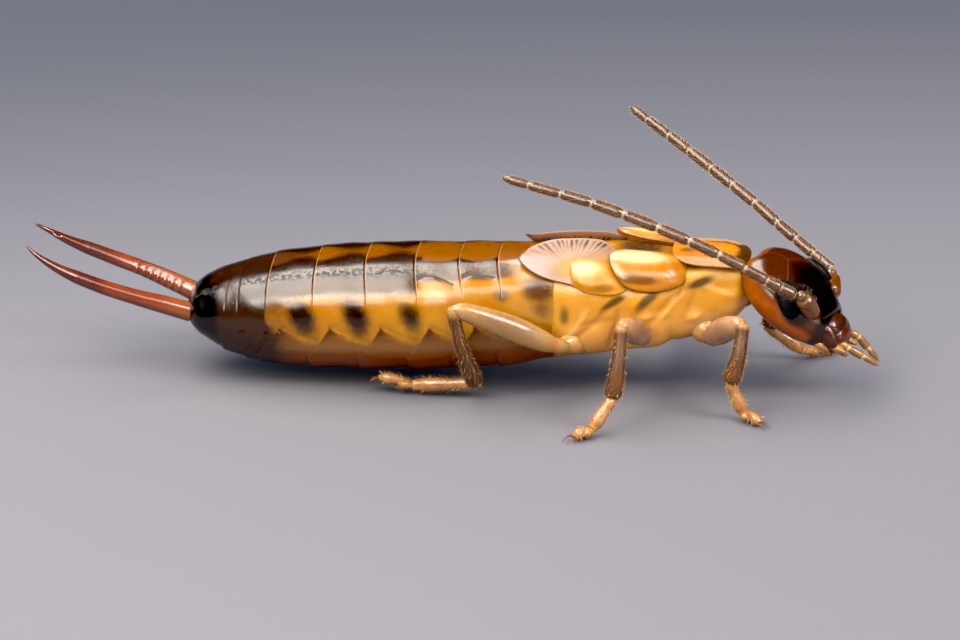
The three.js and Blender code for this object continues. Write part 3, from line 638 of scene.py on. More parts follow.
def slantedMarks(listed, along, degrees):
    shown = np.zeros_like(along)
    for centre, height, halfLong, halfHigh, slant, strength in listed:
        level = degrees - slant * (along - centre) / halfLong * 0.5
        shown = np.maximum(shown, strength * blot(along, level, (centre, height), (halfLong, halfHigh), 1.4))
    return shown

def thoraxShape():
    look = thoraxLook
    along, angle, degrees = trunkGrid(look, [waist for waist, depth in look["waists"]], look["edgeReach"],
                                      look["edgeStep"])
    raised = 0.01 * np.sin(along * 9 + np.sin(angle * 4) * 1.6) * np.sin(angle * 3 + along * 2) - look["skinDepth"]
    for waist, depth in look["waists"]:
        raised -= depth * hill(along, waist, 0.1) * (0.35 + 0.65 * rise(60, 110, degrees))
    foldShading = np.zeros_like(along)
    for start, end, depth, width in sideFolds:
        away, share = fromLine(along, degrees, start, end, look["perDegree"])
        line = hill(away, 0, width) * np.sin(np.pi * np.clip(0.12 + share * 0.76, 0, 1)) ** 0.5
        raised -= depth * line
        foldShading += line * math.copysign(1, depth)
    for centre, height, halfLong, halfHigh, swelling in swellings:
        raised += swelling * blot(along, degrees, (centre, height), (halfLong, halfHigh))
    startShare = np.clip((along - look["rear"]) / 0.06, 0, 1)
    endShare = np.clip((look["front"] - along) / 0.22, 0, 1)
    rounded = (0.985 + 0.015 * np.sqrt(1 - (1 - startShare) ** 2)) * (0.45 + 0.55 * np.sqrt(1 - (1 - endShare) ** 2))
    grid, middle = squeezed(raisedTrunk(along, angle, raised), rounded)
    marks = {
        "spot": slantedMarks(sideMarks, along, degrees),
        "backPatch": slantedMarks(backMarks, along, degrees),
        # Painted shade darkens the sunk folds; painted highlight lightens the raised folds and the side just under the
        # shield's brim
        "fold": np.clip(foldShading, 0, 1),
        "paleFold": 0.7 * np.clip(-foldShading, 0, 1) + 0.9 * blot(along, degrees, (4.1, 47), (0.55, 11)),
        # painted glow: the lower half is lightened as if lit through the skin
        "belly": rise(74, 112, degrees) * rise(1.3, 1.8, along),
        "deepAmber": 0.8 * (blot(along, degrees, (4.35, 70), (0.4, 22)) + blot(along, degrees, (3.55, 66), (0.16, 16))),
        "rootBlush": blot(along, degrees, (3.98, 116), (0.3, 14)) + blot(along, degrees, (2.95, 122), (0.25, 12)),
    }
    shape = Shape()
    shape.addGrid(grid, marks, (middle[0, 0] - (0.01, 0, 0), middle[-1, 0] + (0.01, 0, 0)))
    shape.addTube(np.linspace(*look["neck"], 12), np.full(12, look["neckRadius"]), 40, {"deepAmber": 0.6})
    return shape

thoraxCuticle = cuticle("amberThoraxCuticle", {    # the palest skin, soft between its plates: honey-like, wet gloss
    "base": ("#AC7418", "#A06A12"), "cloudSize": 0.45, "ragged": 0.12,
    # the belly layer is a painted glow on the lower half
    "layers": (("belly", "#C08438", 0.9), ("rootBlush", "#B88460", 0.5), ("deepAmber", "#B07004", 0.6),
               # painted highlight on raised folds and under the brim, painted shade in sunk folds
               ("paleFold", "#D0A660", 0.45), ("fold", "#94580C", 0.4), ("backPatch", "#2C1606", 0.95),
               ("spot", "#3E2606", 0.9)),
    "pitSpacing": 0.06, "pitDepth": 0.004, "waveSize": 0.22, "waveShare": 1.5, "bump": 0.4,
    "roughness": (0.24, 0.42), "soak": 0.8, "soakDepth": 0.6,
})
thoraxShape().piece("thoraxSkin", "thorax_skin", thoraxCuticle, ("metathorax", "mesothorax", "prothorax"))

# A flat lens: reach goes from its top's middle over the rim to its underside's middle, and isTop tells which face
def lensRings(rings, rimRings, columns):
    reach = np.concatenate([np.linspace(0.02, 1, rings) ** 0.85, np.linspace(1, 0.05, rimRings) ** 0.7])
    isTop = np.arange(rings + rimRings) < rings
    return np.repeat(reach[:, None], columns, axis=1), np.repeat(isTop[:, None], columns, axis=1)

shieldLook = {"rear": 3.4, "front": 4.76, "halfWidth": 0.71, "top": 2.545, "frontTop": 2.5, "curl": 0.085,
              "droop": 0.12, "rim": 0.018, "depth": 0.2, "corner": 2.9, "columns": 160, "rings": 44, "rimRings": 14}

def shieldShape():
    look = shieldLook
    reach, isTop = lensRings(look["rings"], look["rimRings"], look["columns"])
    cosine, sine = np.cos(turns(look["columns"])), np.sin(turns(look["columns"]))
    corner = (np.abs(cosine) ** look["corner"] + np.abs(sine) ** look["corner"]) ** (-1 / look["corner"])
    x = (look["front"] + look["rear"]) / 2 + cosine * reach * corner * (look["front"] - look["rear"]) / 2
    y = sine * reach * corner * look["halfWidth"]
    side = np.abs(y)
    level = np.interp(x, [look["rear"], look["front"]], [look["top"], look["frontTop"]])
    dome = (0.02 * blot(x, side, (4.35, 0.26), (0.22, 0.16)) - 0.006 * hill(reach, 0.8, 0.1)
            - 0.02 * hill(y, 0, 0.05) * fall(0.5, 0.8, reach))
    below = -look["rim"] - (look["depth"] - look["rim"]) * (1 - reach) ** 0.6
    curl = -look["curl"] * (side / look["halfWidth"]) ** 2 - look["droop"] * np.maximum((x - 4.2) / 0.56, 0) ** 2
    grid = np.stack([x, y, level + np.where(isTop, dome, below) + curl], axis=-1)
    shape = Shape()
    shape.addGrid(grid, {
        "flange": rise(0.36, 0.52, side) * (1 - 0.6 * rise(4.4, 4.7, x)),
        "edgeLine": np.where(isTop, rise(0.985, 0.995, reach), rise(0.97, 1, reach)),
        "backPatch": rise(4.42, 4.66, x) * fall(0.45, 0.7, side) + 0.6 * blot(x, side, (3.66, 0.18), (0.16, 0.13))
                     + 0.8 * hill(side + 0.1 * (x - 4.2), 0.34, 0.07) * rise(3.7, 4.3, x),
    })
    return shape

# a stiff plate with a thin clear brim: pale edge round an orange middle
shieldCuticle = cuticle("clearShieldCuticle", {
    "base": ("#9E6008", "#8A5004"), "cloudSize": 0.3,
    "layers": (("flange", "#92704E", 0.85), ("backPatch", "#240C02", 0.92), ("edgeLine", "#6A4620", 0.8)),
    "pitSpacing": 0.05, "pitDepth": 0.004, "waveSize": 0.2, "waveShare": 1.4, "bump": 0.35,
    "roughness": (0.24, 0.4), "gloss": 0.4, "soak": 0.4, "soakDepth": 0.2,
})
shieldShape().piece("neckShield", "thorax_skin", shieldCuticle)

# Wing pads: each outline goes round from its rear tip over the back, as along, degrees from the back, height
padLooks = {
    "forewing": {
        "outline": ((2.33, 30, 0.15), (2.37, 22, 0.14), (2.52, 16, 0.11), (2.86, 13, 0.07), (3.2, 12, 0.06),
                    (3.42, 14, 0.05), (3.62, 20, 0.05), (3.71, 32, 0.04), (3.72, 45, 0.03), (3.63, 58, 0.03),
                    (3.38, 65, 0.03), (3.1, 67, 0.04), (2.8, 65, 0.07), (2.58, 58, 0.11), (2.4, 44, 0.14)),
        "centre": (2.98, 36), "dome": 0.16, "fullness": 0.66, "sink": -0.12,
    },
    "hindwing": {
        "outline": ((0.75, 25, 0.1), (0.85, 15, 0.11), (1.05, 9, 0.15), (1.35, 6, 0.19), (1.66, 6, 0.2),
                    (1.98, 6, 0.19), (2.22, 8, 0.17), (2.46, 14, 0.08), (2.62, 25, 0.03), (2.7, 42, 0.01),
                    (2.72, 58, 0.01), (2.66, 65, 0.02), (2.5, 69, 0.03), (2.2, 69, 0.05), (1.94, 66, 0.06),
                    (1.72, 59, 0.06), (1.36, 53, 0.07), (1.1, 46, 0.08), (0.88, 36, 0.09)),
        "centre": (1.75, 36), "dome": 0.03, "fullness": 0.7, "sink": -0.1,
    },
}
padSizes = {"columns": 240, "rings": 64, "rimRings": 16, "rim": 0.02}
fanRoot = (1.68, 38.0)    # where the hindwing's folds spread from: along, degrees
degreeLength = 0.021      # a degree round the back, in mm

# A closed smooth line through the outline's points
def closedLine(points, count):
    points = np.asarray(points, float)
    n = len(points)
    t = np.linspace(0, n, count, endpoint=False)
    i = t.astype(int)
    f = (t - i)[:, None]
    p0, p1, p2, p3 = (points[(i + k) % n] for k in (-1, 0, 1, 2))
    return 0.5 * (2 * p1 + (p2 - p0) * f + (2 * p0 - 5 * p1 + 4 * p2 - p3) * f ** 2
                  + (3 * p1 - p0 - 3 * p2 + p3) * f ** 3)

# The pleated fan and the bulge at its root: what they add to the height, and their marks
def fanForm(along, degrees, reach):
    acrossRoot = (fanRoot[1] - degrees) * degreeLength
    spread = np.arctan2(acrossRoot, fanRoot[0] - along)    # 0 to the tip, a quarter turn up to the back
    away = np.hypot(along - fanRoot[0], acrossRoot)
    isFolded = hump(-0.75, -0.3, 2.35, 2.7, spread)
    outer = hump(0.52 + 0.1 * np.sin(spread * 11 + 1) + 0.07 * np.sin(spread * 27), 0.9, 0.93, 0.96, reach)
    wobble = 0.7 * np.sin(spread * 5) + 0.5 * np.sin(spread * 13 + 2) + 0.12 * np.sin(away * 30 + spread * 9)
    folds = np.sin(spread * 46 + 1.5 * wobble)
    bulge = rise(-0.04, 0.04, along - 1.7 - 0.003 * (degrees - 45)) * rise(14, 50, degrees + 8 * (along - 1.7))
    fan = 1 - bulge
    height = (0.003 * folds * isFolded * rise(0.2, 0.6, away) * fall(0.9, 0.98, reach) * fan
              - 0.03 * fan * hill(reach, 0.5, 0.3)
              + (0.012 + 0.05 * hump(1.66, 1.9, 2.1, 2.5, along)) * bulge * fall(0.7, 1, reach))
    strokes = 0.2 + 0.8 * rise(-0.4, 0.6, folds) * (0.7 + 0.3 * np.sin(spread * 17))
    return height, {
        "fanShade": isFolded * outer * strokes * fan * (0.15 + 0.85 * rise(0.3, 0.8, spread)),
        "fanGlow": fall(0.1, 0.36, away) * fan,
        "fanTint": fan * rise(0.1, 0.35, away),
        # a painted highlight on the bulge at the fan's root
        "glow": bulge * blot(along, degrees, (1.92, 41), (0.34, 11)),
        "clearTip": fall(1.0, 1.55, along) * rise(16, 26, degrees),
        "rimLine": rise(0.95, 0.98, reach) * (1 - 0.7 * bulge) * (0.25 + 0.75 * rise(8, 20, degrees)),
        "spot": blot(along, degrees, (2.3, 62.5), (0.2, 4.5), 1.3),
    }

def padShape(look, side, isFan):
    reach, isTop = lensRings(padSizes["rings"], padSizes["rimRings"], padSizes["columns"])
    rim = closedLine(look["outline"], padSizes["columns"])
    along, degrees = (look["centre"][k] + (rim[:, k] - look["centre"][k]) * reach for k in (0, 1))
    raised = rim[:, 2] * reach ** 2 + look["dome"] * (1 - reach ** 2.2) ** look["fullness"] + 0.04 * (1 - reach ** 2)
    if isFan:
        height, marks = fanForm(along, degrees, reach)
        raised += height
    else:
        # the second mark paints a highlight across the pad's upper part
        marks = {"rimLine": rise(0.95, 0.98, reach), "glow": blot(along, degrees, (2.86, 29), (0.5, 10), 1.4),
                 "spot": blot(along, degrees - (along - 2.86) * 4, (2.86, 54.5), (0.4, 5.5), 1.5)}
    under = raised - padSizes["rim"]
    raised = np.where(isTop, raised, np.minimum(under, look["sink"] * (1 - reach ** 6) + under * reach ** 6))
    shape = Shape()
    shape.addGrid(raisedTrunk(along, np.radians(degrees) * side, raised), marks)
    return shape

# smooth bulging case over the folded wing: clear yellow, mirror gloss
forewingCuticle = cuticle("forewingPadCuticle", {
    "base": ("#9E6002", "#905402"), "cloudSize": 0.4,
    # the first layer is a painted highlight
    "layers": (("glow", "#CCA870", 0.92), ("spot", "#522E04", 0.9), ("rimLine", "#5A3008", 0.8)),
    "pitSpacing": 0.05, "pitDepth": 0.003, "waveSize": 0.25, "waveShare": 1.2, "bump": 0.25,
    "roughness": (0.2, 0.32), "gloss": 0.6, "soak": 0.4, "soakDepth": 0.25,
})
# thin case over a pleated fan: violet-grey folds under a clear skin
hindwingCuticle = cuticle("hindwingPadCuticle", {
    "base": ("#9E6604", "#925A04"), "cloudSize": 0.35,
    "layers": (("fanTint", "#7C5E48", 0.9), ("clearTip", "#88766C", 0.85), ("fanShade", "#2C1618", 0.98),
               # the cream layer on this line is a painted highlight on the root's bulge
               ("fanGlow", "#8A5814", 0.6), ("glow", "#BE9E6C", 0.85), ("spot", "#6A4408", 0.85),
               ("rimLine", "#3A1C08", 0.92)),
    "pitSpacing": 0.04, "pitDepth": 0.004, "waveSize": 0.16, "waveShare": 1.3, "bump": 0.4,
    "roughness": (0.28, 0.46), "gloss": 0.3, "soak": 0.3, "soakDepth": 0.2,
})
for sideName, side in sides:
    for wing, isFan, skin in (("forewing", False, forewingCuticle), ("hindwing", True, hindwingCuticle)):
        padShape(padLooks[wing], side, isFan).piece(f"{wing}Pad.{sideName}", f"{wing}_pads", skin,
                                                    (f"{wing}_pad_{sideName}",))
print("thorax, shield and wing pads made")

# Head
headLook = {
    "centre": (5.53, -0.157, 1.71), "pitch": 36.0, "yaw": -19.0, "halfLength": 1.07, "halfWidth": 0.89,
    "halfHeight": 0.54, "underShare": 0.84, "boxy": 2.3, "columns": 200, "rows": 170,
}
headPitch, headYaw = math.radians(headLook["pitch"]), math.radians(headLook["yaw"])
headForward = np.array([math.cos(headPitch) * math.cos(headYaw), math.cos(headPitch) * math.sin(headYaw),
                        -math.sin(headPitch)])
headLeft = np.array([-math.sin(headYaw), math.cos(headYaw), 0.0])
headAxes = np.stack([headForward, headLeft, np.cross(headForward, headLeft)])

def onHead(points):
    return np.asarray(headLook["centre"]) + np.asarray(points, float) @ headAxes

def headShape():
    look = headLook
    t, turn = globe(look["rows"], look["columns"], 0.02, -math.pi)
    radius = (1 - np.abs(t) ** look["boxy"]) ** (1 / look["boxy"])
    ahead, behind = np.maximum(t, 0), np.maximum(-t, 0)
    width = look["halfWidth"] * (1 - 0.36 * ahead ** 1.6 - 0.1 * behind ** 2)
    height = look["halfHeight"] * (1 - 0.22 * ahead ** 2) * np.where(np.cos(turn) < 0, look["underShare"], 1.0)
    left = width * radius * signedPower(np.sin(turn), 0.86)
    up = height * radius * signedPower(np.cos(turn), 0.86) - 0.1 * ahead ** 2
    forward = look["halfLength"] * t + 0.1 * behind ** 3 * hill(left, 0, 0.3)
    side = np.abs(left)
    top = rise(-0.1, 0.12, up)
    # Seam across the crown, from the middle line round to each eye, and the middle line behind it
    arm = forward + 0.5 - 0.62 * side ** 1.15
    armSeam = hill(arm, 0, 0.015) * top * fall(0.5, 0.62, side)
    midSeam = hill(left, 0, 0.015) * fall(-0.56, -0.48, forward) * top
    # Seam over the mouth, and the hollows that hold the feelers
    mouthSeam = hill(forward + 0.25 * side ** 2, 0.74, 0.03) * top * fall(0.34, 0.44, side)
    socket = blot(forward, side, (0.5, 0.47), (0.16, 0.15)) * top
    eyeReach = np.hypot((forward - 0.08) / 0.42, (up - 0.3 + 0.55 * (forward - 0.08)) / 0.2)
    eyeRing = hill(eyeReach, 1, 0.2) * rise(0.4, 0.6, side)
    cheekFold = hill(up + 0.2 * forward, -0.16, 0.035) * rise(0.1, 0.3, forward) * rise(0.25, 0.4, side)
    sunk = (0.016 * (armSeam + midSeam) + 0.03 * mouthSeam + 0.05 * socket + 0.012 * (eyeRing + cheekFold)
            - 0.03 * blot(forward, left, (0.25, 0), (0.25, 0.3)) * top)
    shrink = 1 - sunk / np.maximum(radius, 0.25)
    face = np.maximum(rise(-0.2, 0.42, arm) * rise(-0.1, 0.12, up + 0.12 * rise(0.5, 0.9, forward)),
                      rise(0.62, 0.8, forward) * rise(-0.34, -0.2, up))
    shape = Shape()
    shape.addGrid(onHead(np.stack([forward, left * shrink, up * shrink], axis=-1)), {
        "crown": rise(0.02, 0.32, up) * (1 - 0.5 * fall(-1.05, -0.8, forward)),
        "rearRim": fall(-0.95, -0.82, forward),
        "face": face * (1 - 0.75 * blot(forward, side, (0.5, 0.52), (0.2, 0.16))),
        "seam": np.clip(armSeam + 0.6 * midSeam, 0, 1),
        "throat": rise(0.25, 0.5, -up) * fall(0.3, 0.8, forward),
        "mouthRed": rise(0.72, 0.9, forward) * 0.8,
        "wrinkle": blot(forward, side, (0.2, 0.42), (0.22, 0.16), 1.5) * top,
    })
    return shape

headCuticle = cuticle("polishedHeadCuticle", {    # the hardest, glassiest skin: chestnut behind, near black in front
    "base": ("#864000", "#743200"), "cloudSize": 0.5,
    "layers": (("throat", "#B46C1A", 0.7), ("crown", "#280C02", 0.92), ("rearRim", "#7A4404", 0.4),
               ("face", "#0A0200", 0.97), ("mouthRed", "#240402", 0.7), ("seam", "#5E3216", 0.45)),
    "pitSpacing": 0.05, "pitDepth": 0.003, "waveSize": 0.3, "waveShare": 1.0, "bump": 0.3,
    "scuffs": ("wrinkle", 0.02, 0.12),
    "roughness": (0.16, 0.26), "gloss": 0.6, "soak": 0.1, "soakDepth": 0.15,
})

# Mouth parts: rounded lobes in the head's frame, the ones off its middle on both sides
mouthLobes = (    # forward, left, up, half length, half width, half height, tilt, mark
    (0.9, 0.0, 0.16, 0.24, 0.3, 0.17, -20, "dark"), (1.08, 0.0, 0.1, 0.18, 0.25, 0.13, -44, "red"),
    (0.92, 0.28, 0.06, 0.26, 0.12, 0.17, -20, "dark"), (1.14, 0.1, -0.02, 0.16, 0.11, 0.09, -56, "dark"),
    (0.74, 0.3, -0.16, 0.36, 0.13, 0.1, 2, "pink"), (1.03, 0.24, -0.06, 0.34, 0.08, 0.07, 14, "pink"),
    (1.16, 0.14, -0.1, 0.24, 0.07, 0.06, 8, "amber"), (0.7, 0.0, -0.24, 0.38, 0.2, 0.09, -4, "amber"),
    (1.02, 0.07, -0.28, 0.16, 0.07, 0.06, -10, "amber"),
)

def mouthShape():
    shape = Shape()
    t, turn = globe(26, 36, 0.06)
    radius = (1 - np.abs(t) ** 2.2) ** (1 / 2.2) * (1 - 0.16 * np.maximum(t, 0))
    for forward, left, up, halfLong, halfWide, halfHigh, tilt, mark in mouthLobes:
        slope = math.radians(tilt)
        ahead, above = t * halfLong, radius * (np.sin(turn) * halfHigh + 0.012 * np.cos(turn * 2))
        marks = {"tipShade": rise(0.2, 1.0, t), **{kind: float(mark == kind) for kind in ("dark", "red", "pink")}}
        for side in (1, -1) if left else (1,):
            grid = np.stack([forward + ahead * math.cos(slope) - above * math.sin(slope),
                             left * side + radius * np.cos(turn) * halfWide,
                             up + ahead * math.sin(slope) + above * math.cos(slope)], axis=-1)
            shape.addGrid(onHead(grid), marks)
    return shape

mouthCuticle = cuticle("mouthPartCuticle", {    # hard dark jaws over soft pinkish lobes, all wet
    "base": ("#9A5E1E", "#84480E"), "cloudSize": 0.15,
    "layers": (("pink", "#A87440", 0.85), ("red", "#3C0E08", 0.95), ("dark", "#2A0A05", 0.95),
               ("tipShade", "#2A0C06", 0.5)),
    "pitSpacing": 0.035, "pitDepth": 0.004, "waveSize": 0.09, "waveShare": 1.6, "bump": 0.5,
    "roughness": (0.16, 0.34), "gloss": 0.6, "coat": 0.1, "soak": 0.2, "soakDepth": 0.12,
})
headShape().piece("headCapsule", "head_shell", headCuticle, ("head",))
mouthShape().piece("mouthParts", "head_shell", mouthCuticle)

# Node trees that plant small shapes over a piece
def plantingTree(name, sizes, vectors=()):
    tree = bpy.data.node_groups.new(name, "GeometryNodeTree")
    sockets = [("Geometry", "INPUT", "Geometry"), *((size, "INPUT", "Float") for size in sizes),
               *((vector, "INPUT", "Vector") for vector in vectors), ("Geometry", "OUTPUT", "Geometry")]
    for socket, way, kind in sockets:
        tree.interface.new_socket(socket, in_out=way, socket_type="NodeSocket" + kind)
    return tree, addNode(tree, "NodeGroupInput").outputs

def spotsOver(tree, mesh, spacing, density, seed, **more):
    return addNode(tree, "GeometryNodeDistributePointsOnFaces", {"distribute_method": "POISSON"},
                   {"Mesh": mesh, "Distance Min": spacing, "Density Max": density, "Seed": seed, **more}).outputs

def plantedAt(tree, points, planted, rotation, scale):
    inputs = {"Points": points, "Instance": planted, "Rotation": rotation, "Scale": scale}
    return addNode(tree, "GeometryNodeInstanceOnPoints", {}, inputs).outputs["Instances"]

def finishTree(tree, geometry, material):
    real = addNode(tree, "GeometryNodeRealizeInstances", {}, {"Geometry": geometry})
    coated = addNode(tree, "GeometryNodeSetMaterial", {}, {"Geometry": real.outputs[0], "Material": material})
    addNode(tree, "NodeGroupOutput", {}, {"Geometry": coated.outputs[0]})
    return tree

# Runs a node tree on a piece and keeps the result as its plain mesh
def growWith(made, tree, sizes):
    modifier = made.modifiers.new("grow", "NODES")
    modifier.node_group = tree
    sockets = {item.name: item.identifier for item in tree.interface.items_tree if item.in_out == "INPUT"}
    for name, value in sizes.items():
        modifier[sockets[name]] = value
    made.update_tag()
    grown = bpy.data.meshes.new_from_object(made.evaluated_get(bpy.context.evaluated_depsgraph_get()))
    made.modifiers.remove(modifier)
    made.data = grown

# Eyes: kidney-shaped domes packed with lenses by Geometry Nodes
eyeLook = {"centre": (0.02, 0.69, 0.295), "longWay": (0.6, 0.16, -0.21), "outward": (0.02, 0.75, 0.66), "long": 0.37,
           "wide": 0.23, "deep": 0.13, "hollow": 0.06, "lensSpacing": 0.027, "lensRadius": 0.0155, "lensRise": 0.2,
           "cellSize": 0.03}

def eyeShape(side):
    look = eyeLook
    t, turn = globe(44, 72, 0.05)
    radius = np.sqrt(np.maximum(1 - t ** 2, 0))
    outward = unit(np.array(look["outward"]))
    longWay = unit(np.array(look["longWay"]) - outward * np.dot(look["longWay"], outward))
    # Its front edge is hollow, round the feeler's root
    across = radius * np.sin(turn) * look["wide"] + look["hollow"] * t ** 2 - 0.02
    points = np.array(look["centre"]) + (t * look["long"])[..., None] * longWay
    points = points + across[..., None] * np.cross(outward, longWay)
    points = points + (radius * np.cos(turn) * look["deep"])[..., None] * outward
    shape = Shape()
    shape.addGrid(onHead(points * (1, side, 1)))
    return shape

def eyeGlass():
    # clear lens skins over black pigment, each one catching the light
    material, tree, shader, place = newMaterial("blackEyeLens")
    cells = addNode(tree, "ShaderNodeTexVoronoi", {"feature": "F1"},
                    {"Vector": place, "Scale": 1 / (eyeLook["cellSize"] * millimetre)})
    tint = addNode(tree, "ShaderNodeMix", {"data_type": "RGBA"},
                   {0: cells.outputs["Distance"], 6: hexColour("#030304"), 7: hexColour("#0A0C10")})
    tree.links.new(tint.outputs[2], shader.inputs["Base Color"])
    rough = addNode(tree, "ShaderNodeMapRange", {},
                    {"Value": cells.outputs["Distance"], 1: 0.0, 2: 0.6, 3: 0.25, 4: 0.4})
    tree.links.new(rough.outputs[0], shader.inputs["Roughness"])
    shader.inputs["IOR"].default_value = 1.5
    shader.inputs["Specular IOR Level"].default_value = 0.25
    return material

def lensTree(material):
    tree, given = plantingTree("lensPacking", ("Lens Spacing", "Lens Radius", "Lens Rise"))
    spots = spotsOver(tree, given["Geometry"], given["Lens Spacing"], density=4.0e9, seed=5)
    lens = addNode(tree, "GeometryNodeMeshIcoSphere", {}, {"Radius": given["Lens Radius"], "Subdivisions": 1})
    smooth = addNode(tree, "GeometryNodeSetShadeSmooth", {}, {"Geometry": lens.outputs["Mesh"]})
    flattened = addNode(tree, "ShaderNodeCombineXYZ", {}, {0: 1.0, 1: 1.0, 2: given["Lens Rise"]})
    both = addNode(tree, "GeometryNodeJoinGeometry")
    lenses = plantedAt(tree, spots["Points"], smooth.outputs[0], spots["Rotation"], flattened.outputs[0])
    tree.links.new(lenses, both.inputs[0])
    tree.links.new(given["Geometry"], both.inputs[0])
    return finishTree(tree, both.outputs[0], material)

eyeMaterial = eyeGlass()
lensPacking = lensTree(eyeMaterial)
for sideName, side in sides:
    eyePiece = eyeShape(side).bare(f"eye.{sideName}", eyeMaterial)
    growWith(eyePiece, lensPacking, {"Lens Spacing": eyeLook["lensSpacing"] * millimetre,
                                     "Lens Radius": eyeLook["lensRadius"] * millimetre,
                                     "Lens Rise": eyeLook["lensRise"]})
    settle(eyePiece, (f"eye_{sideName}",))
print("head, mouth and eyes made")

# The parts of a limb between its joints: each one's number, the share of the way along it, and its route
def limbParts(points, routeSteps, joints, overlap=0.0, steps=22):
    route = smoothRoute(points, routeSteps)
    for i, (start, end) in enumerate(zip(joints, joints[1:])):
        where = start + (end - start) * np.linspace(-overlap, 1 + overlap, steps)
        yield i, np.linspace(0, 1, steps), alongRoute(route, where * (routeSteps - 1))

# Feelers: scape, pedicel, and a lash of beads
feelerLook = {"scapeRadius": 0.145, "pedicelRadius": 0.095, "beadRadius": 0.1, "tipRadius": 0.07, "waist": 0.62,
              "columns": 28, "pedicelStart": 0.76}
feelerRoutes = {
    "right": {"base": ((5.94, -0.8, 1.62), (5.84, -1.02, 1.9), (5.73, -1.27, 2.18)),
              "lash": ((5.66, -1.3, 2.16), (5.16, -1.3, 2.41), (4.32, -1.2, 2.82), (3.23, -1.0, 3.2),
                       (2.06, -0.78, 3.53), (0.93, -0.6, 3.76), (0.36, -0.5, 3.88)),
              "joints": (0.0, 0.05, 0.097, 0.174, 0.264, 0.364, 0.471, 0.586, 0.691, 0.793, 0.897, 0.985)},
    "left": {"base": ((6.18, 0.1, 1.66), (6.15, 0.4, 1.8), (6.11, 0.66, 1.92)),
             "lash": ((6.1, 0.8, 1.92), (5.77, 1.12, 2.06), (5.09, 1.52, 2.47), (4.67, 1.85, 2.7), (3.42, 2.8, 3.29),
                      (2.2, 3.8, 3.78)),
             "joints": (0.0, 0.045, 0.091, 0.175, 0.259, 0.371, 0.479, 0.581, 0.689, 0.788, 0.895, 0.985)},
}

def lashShape(side):
    look, way = feelerLook, feelerRoutes[side]
    shape = Shape(unwrapped=True)
    for i, share, part in limbParts(way["lash"], 700, way["joints"], overlap=0.02):
        radius = np.interp(way["joints"][i], [0, 0.55, 1],
                           [look["beadRadius"] * 0.95, look["beadRadius"], look["tipRadius"]])
        # A bead is narrow at its root, full, then drawn in to the next joint
        full = rise(0.0, 0.2, share) * (1 - 0.75 * rise(0.9, 1.0, share))
        radii = radius * (look["waist"] + (1 - look["waist"]) * full - 0.05 * rise(0.3, 0.9, share))
        if i == len(way["joints"]) - 2:
            radii = radii * np.sqrt(np.clip((1 - share) / 0.3, 0.02, 1))
        shape.addTube(part, radii, look["columns"],
                      {"joint": (fall(0.03, 0.1, share) + rise(0.93, 1.0, share))[:, None]})
    return shape

def feelerBaseShape(side):
    look = feelerLook
    route = smoothRoute(feelerRoutes[side]["base"], 60)
    share = shareAlong(route)
    neck = look["pedicelStart"]
    isPedicel = rise(neck, neck + 0.04, share)
    scape = look["scapeRadius"] * (0.62 + 0.38 * rise(0, 0.18, share) + 0.1 * np.sin(share / neck * math.pi).clip(0))
    pedicel = look["pedicelRadius"] * (0.75 + 0.3 * rise(0.78, 0.86, share)) * (1 - 0.4 * rise(0.93, 1.0, share))
    radii = scape * (1 - 0.35 * hill(share, neck, 0.035)) * (1 - isPedicel) + pedicel * isPedicel
    shape = Shape()
    shape.addTube(route, radii, 40, {"joint": hill(share, neck + 0.01, 0.03)[:, None], "pale": isPedicel[:, None] * 0.8,
                                     "darkRoot": fall(0.0, 0.14, share)[:, None]})
    return shape

lashCuticle = cuticle("downyLashCuticle", {    # grey-brown beads dulled by fine down, with pale soft joints between
    "base": ("#4E3018", "#38200E"), "cloudSize": 0.12,
    "layers": (("joint", "#A48E74", 0.8),),
    "pitSpacing": 0.025, "pitDepth": 0.005, "waveSize": 0.08, "waveShare": 1.4, "bump": 0.6,
    "roughness": (0.2, 0.34), "gloss": 0.7, "soak": 0.15, "soakDepth": 0.08,
})
scapeCuticle = cuticle("orangeScapeCuticle", {    # clear orange skin over the feeler's root, shiny
    "base": ("#5E3008", "#4A2404"), "cloudSize": 0.15,
    "layers": (("pale", "#4E361E", 0.8), ("joint", "#8A6A40", 0.7), ("darkRoot", "#5A2408", 0.7)),
    "pitSpacing": 0.03, "pitDepth": 0.003, "waveSize": 0.1, "waveShare": 1.2, "bump": 0.4,
    "roughness": (0.16, 0.3), "gloss": 0.6, "coat": 0.1, "soak": 0.3, "soakDepth": 0.12,
})
for sideName, side in sides:
    lashShape(sideName).piece(f"feelerLash.{sideName}", "antennae", lashCuticle, (f"antenna_{sideName}",))
    feelerBaseShape(sideName).piece(f"feelerBase.{sideName}", "antenna_bases", scapeCuticle,
                                    (f"antenna_base_{sideName}",))

# Mouth feelers
palpRoutes = {
    "right": ((6.2, -0.6, 1.16), (6.56, -0.6, 0.95), (6.82, -0.58, 0.8), (7.07, -0.54, 0.64)),
    "left": ((6.36, -0.12, 1.12), (6.62, -0.08, 1.02), (6.8, -0.06, 0.82), (7.02, -0.08, 0.56)),
}
palpLook = {"radius": 0.072, "joints": (0.0, 0.16, 0.36, 0.66, 1.0), "lastShare": 0.8}

def palpShape(side):
    look = palpLook
    shape = Shape(unwrapped=True)
    for i, share, part in limbParts(palpRoutes[side], 200, look["joints"]):
        isLast = i == len(look["joints"]) - 2
        profile = (0.8 + 0.2 * rise(0, 0.5, share)) * (1 - 0.2 * rise(0.88, 1.0, share))
        if isLast:
            profile = look["lastShare"] * (0.75 + 0.25 * rise(0, 0.3, share)) * (1 - 0.85 * share ** 3)
        joint = hill(share, 0.0, 0.12) + hill(share, 1.0, 0.07) * (not isLast)
        shape.addTube(part, look["radius"] * profile, 26, {"joint": joint[:, None], "shade": 0.8 if i >= 2 else 0.2})
    return shape

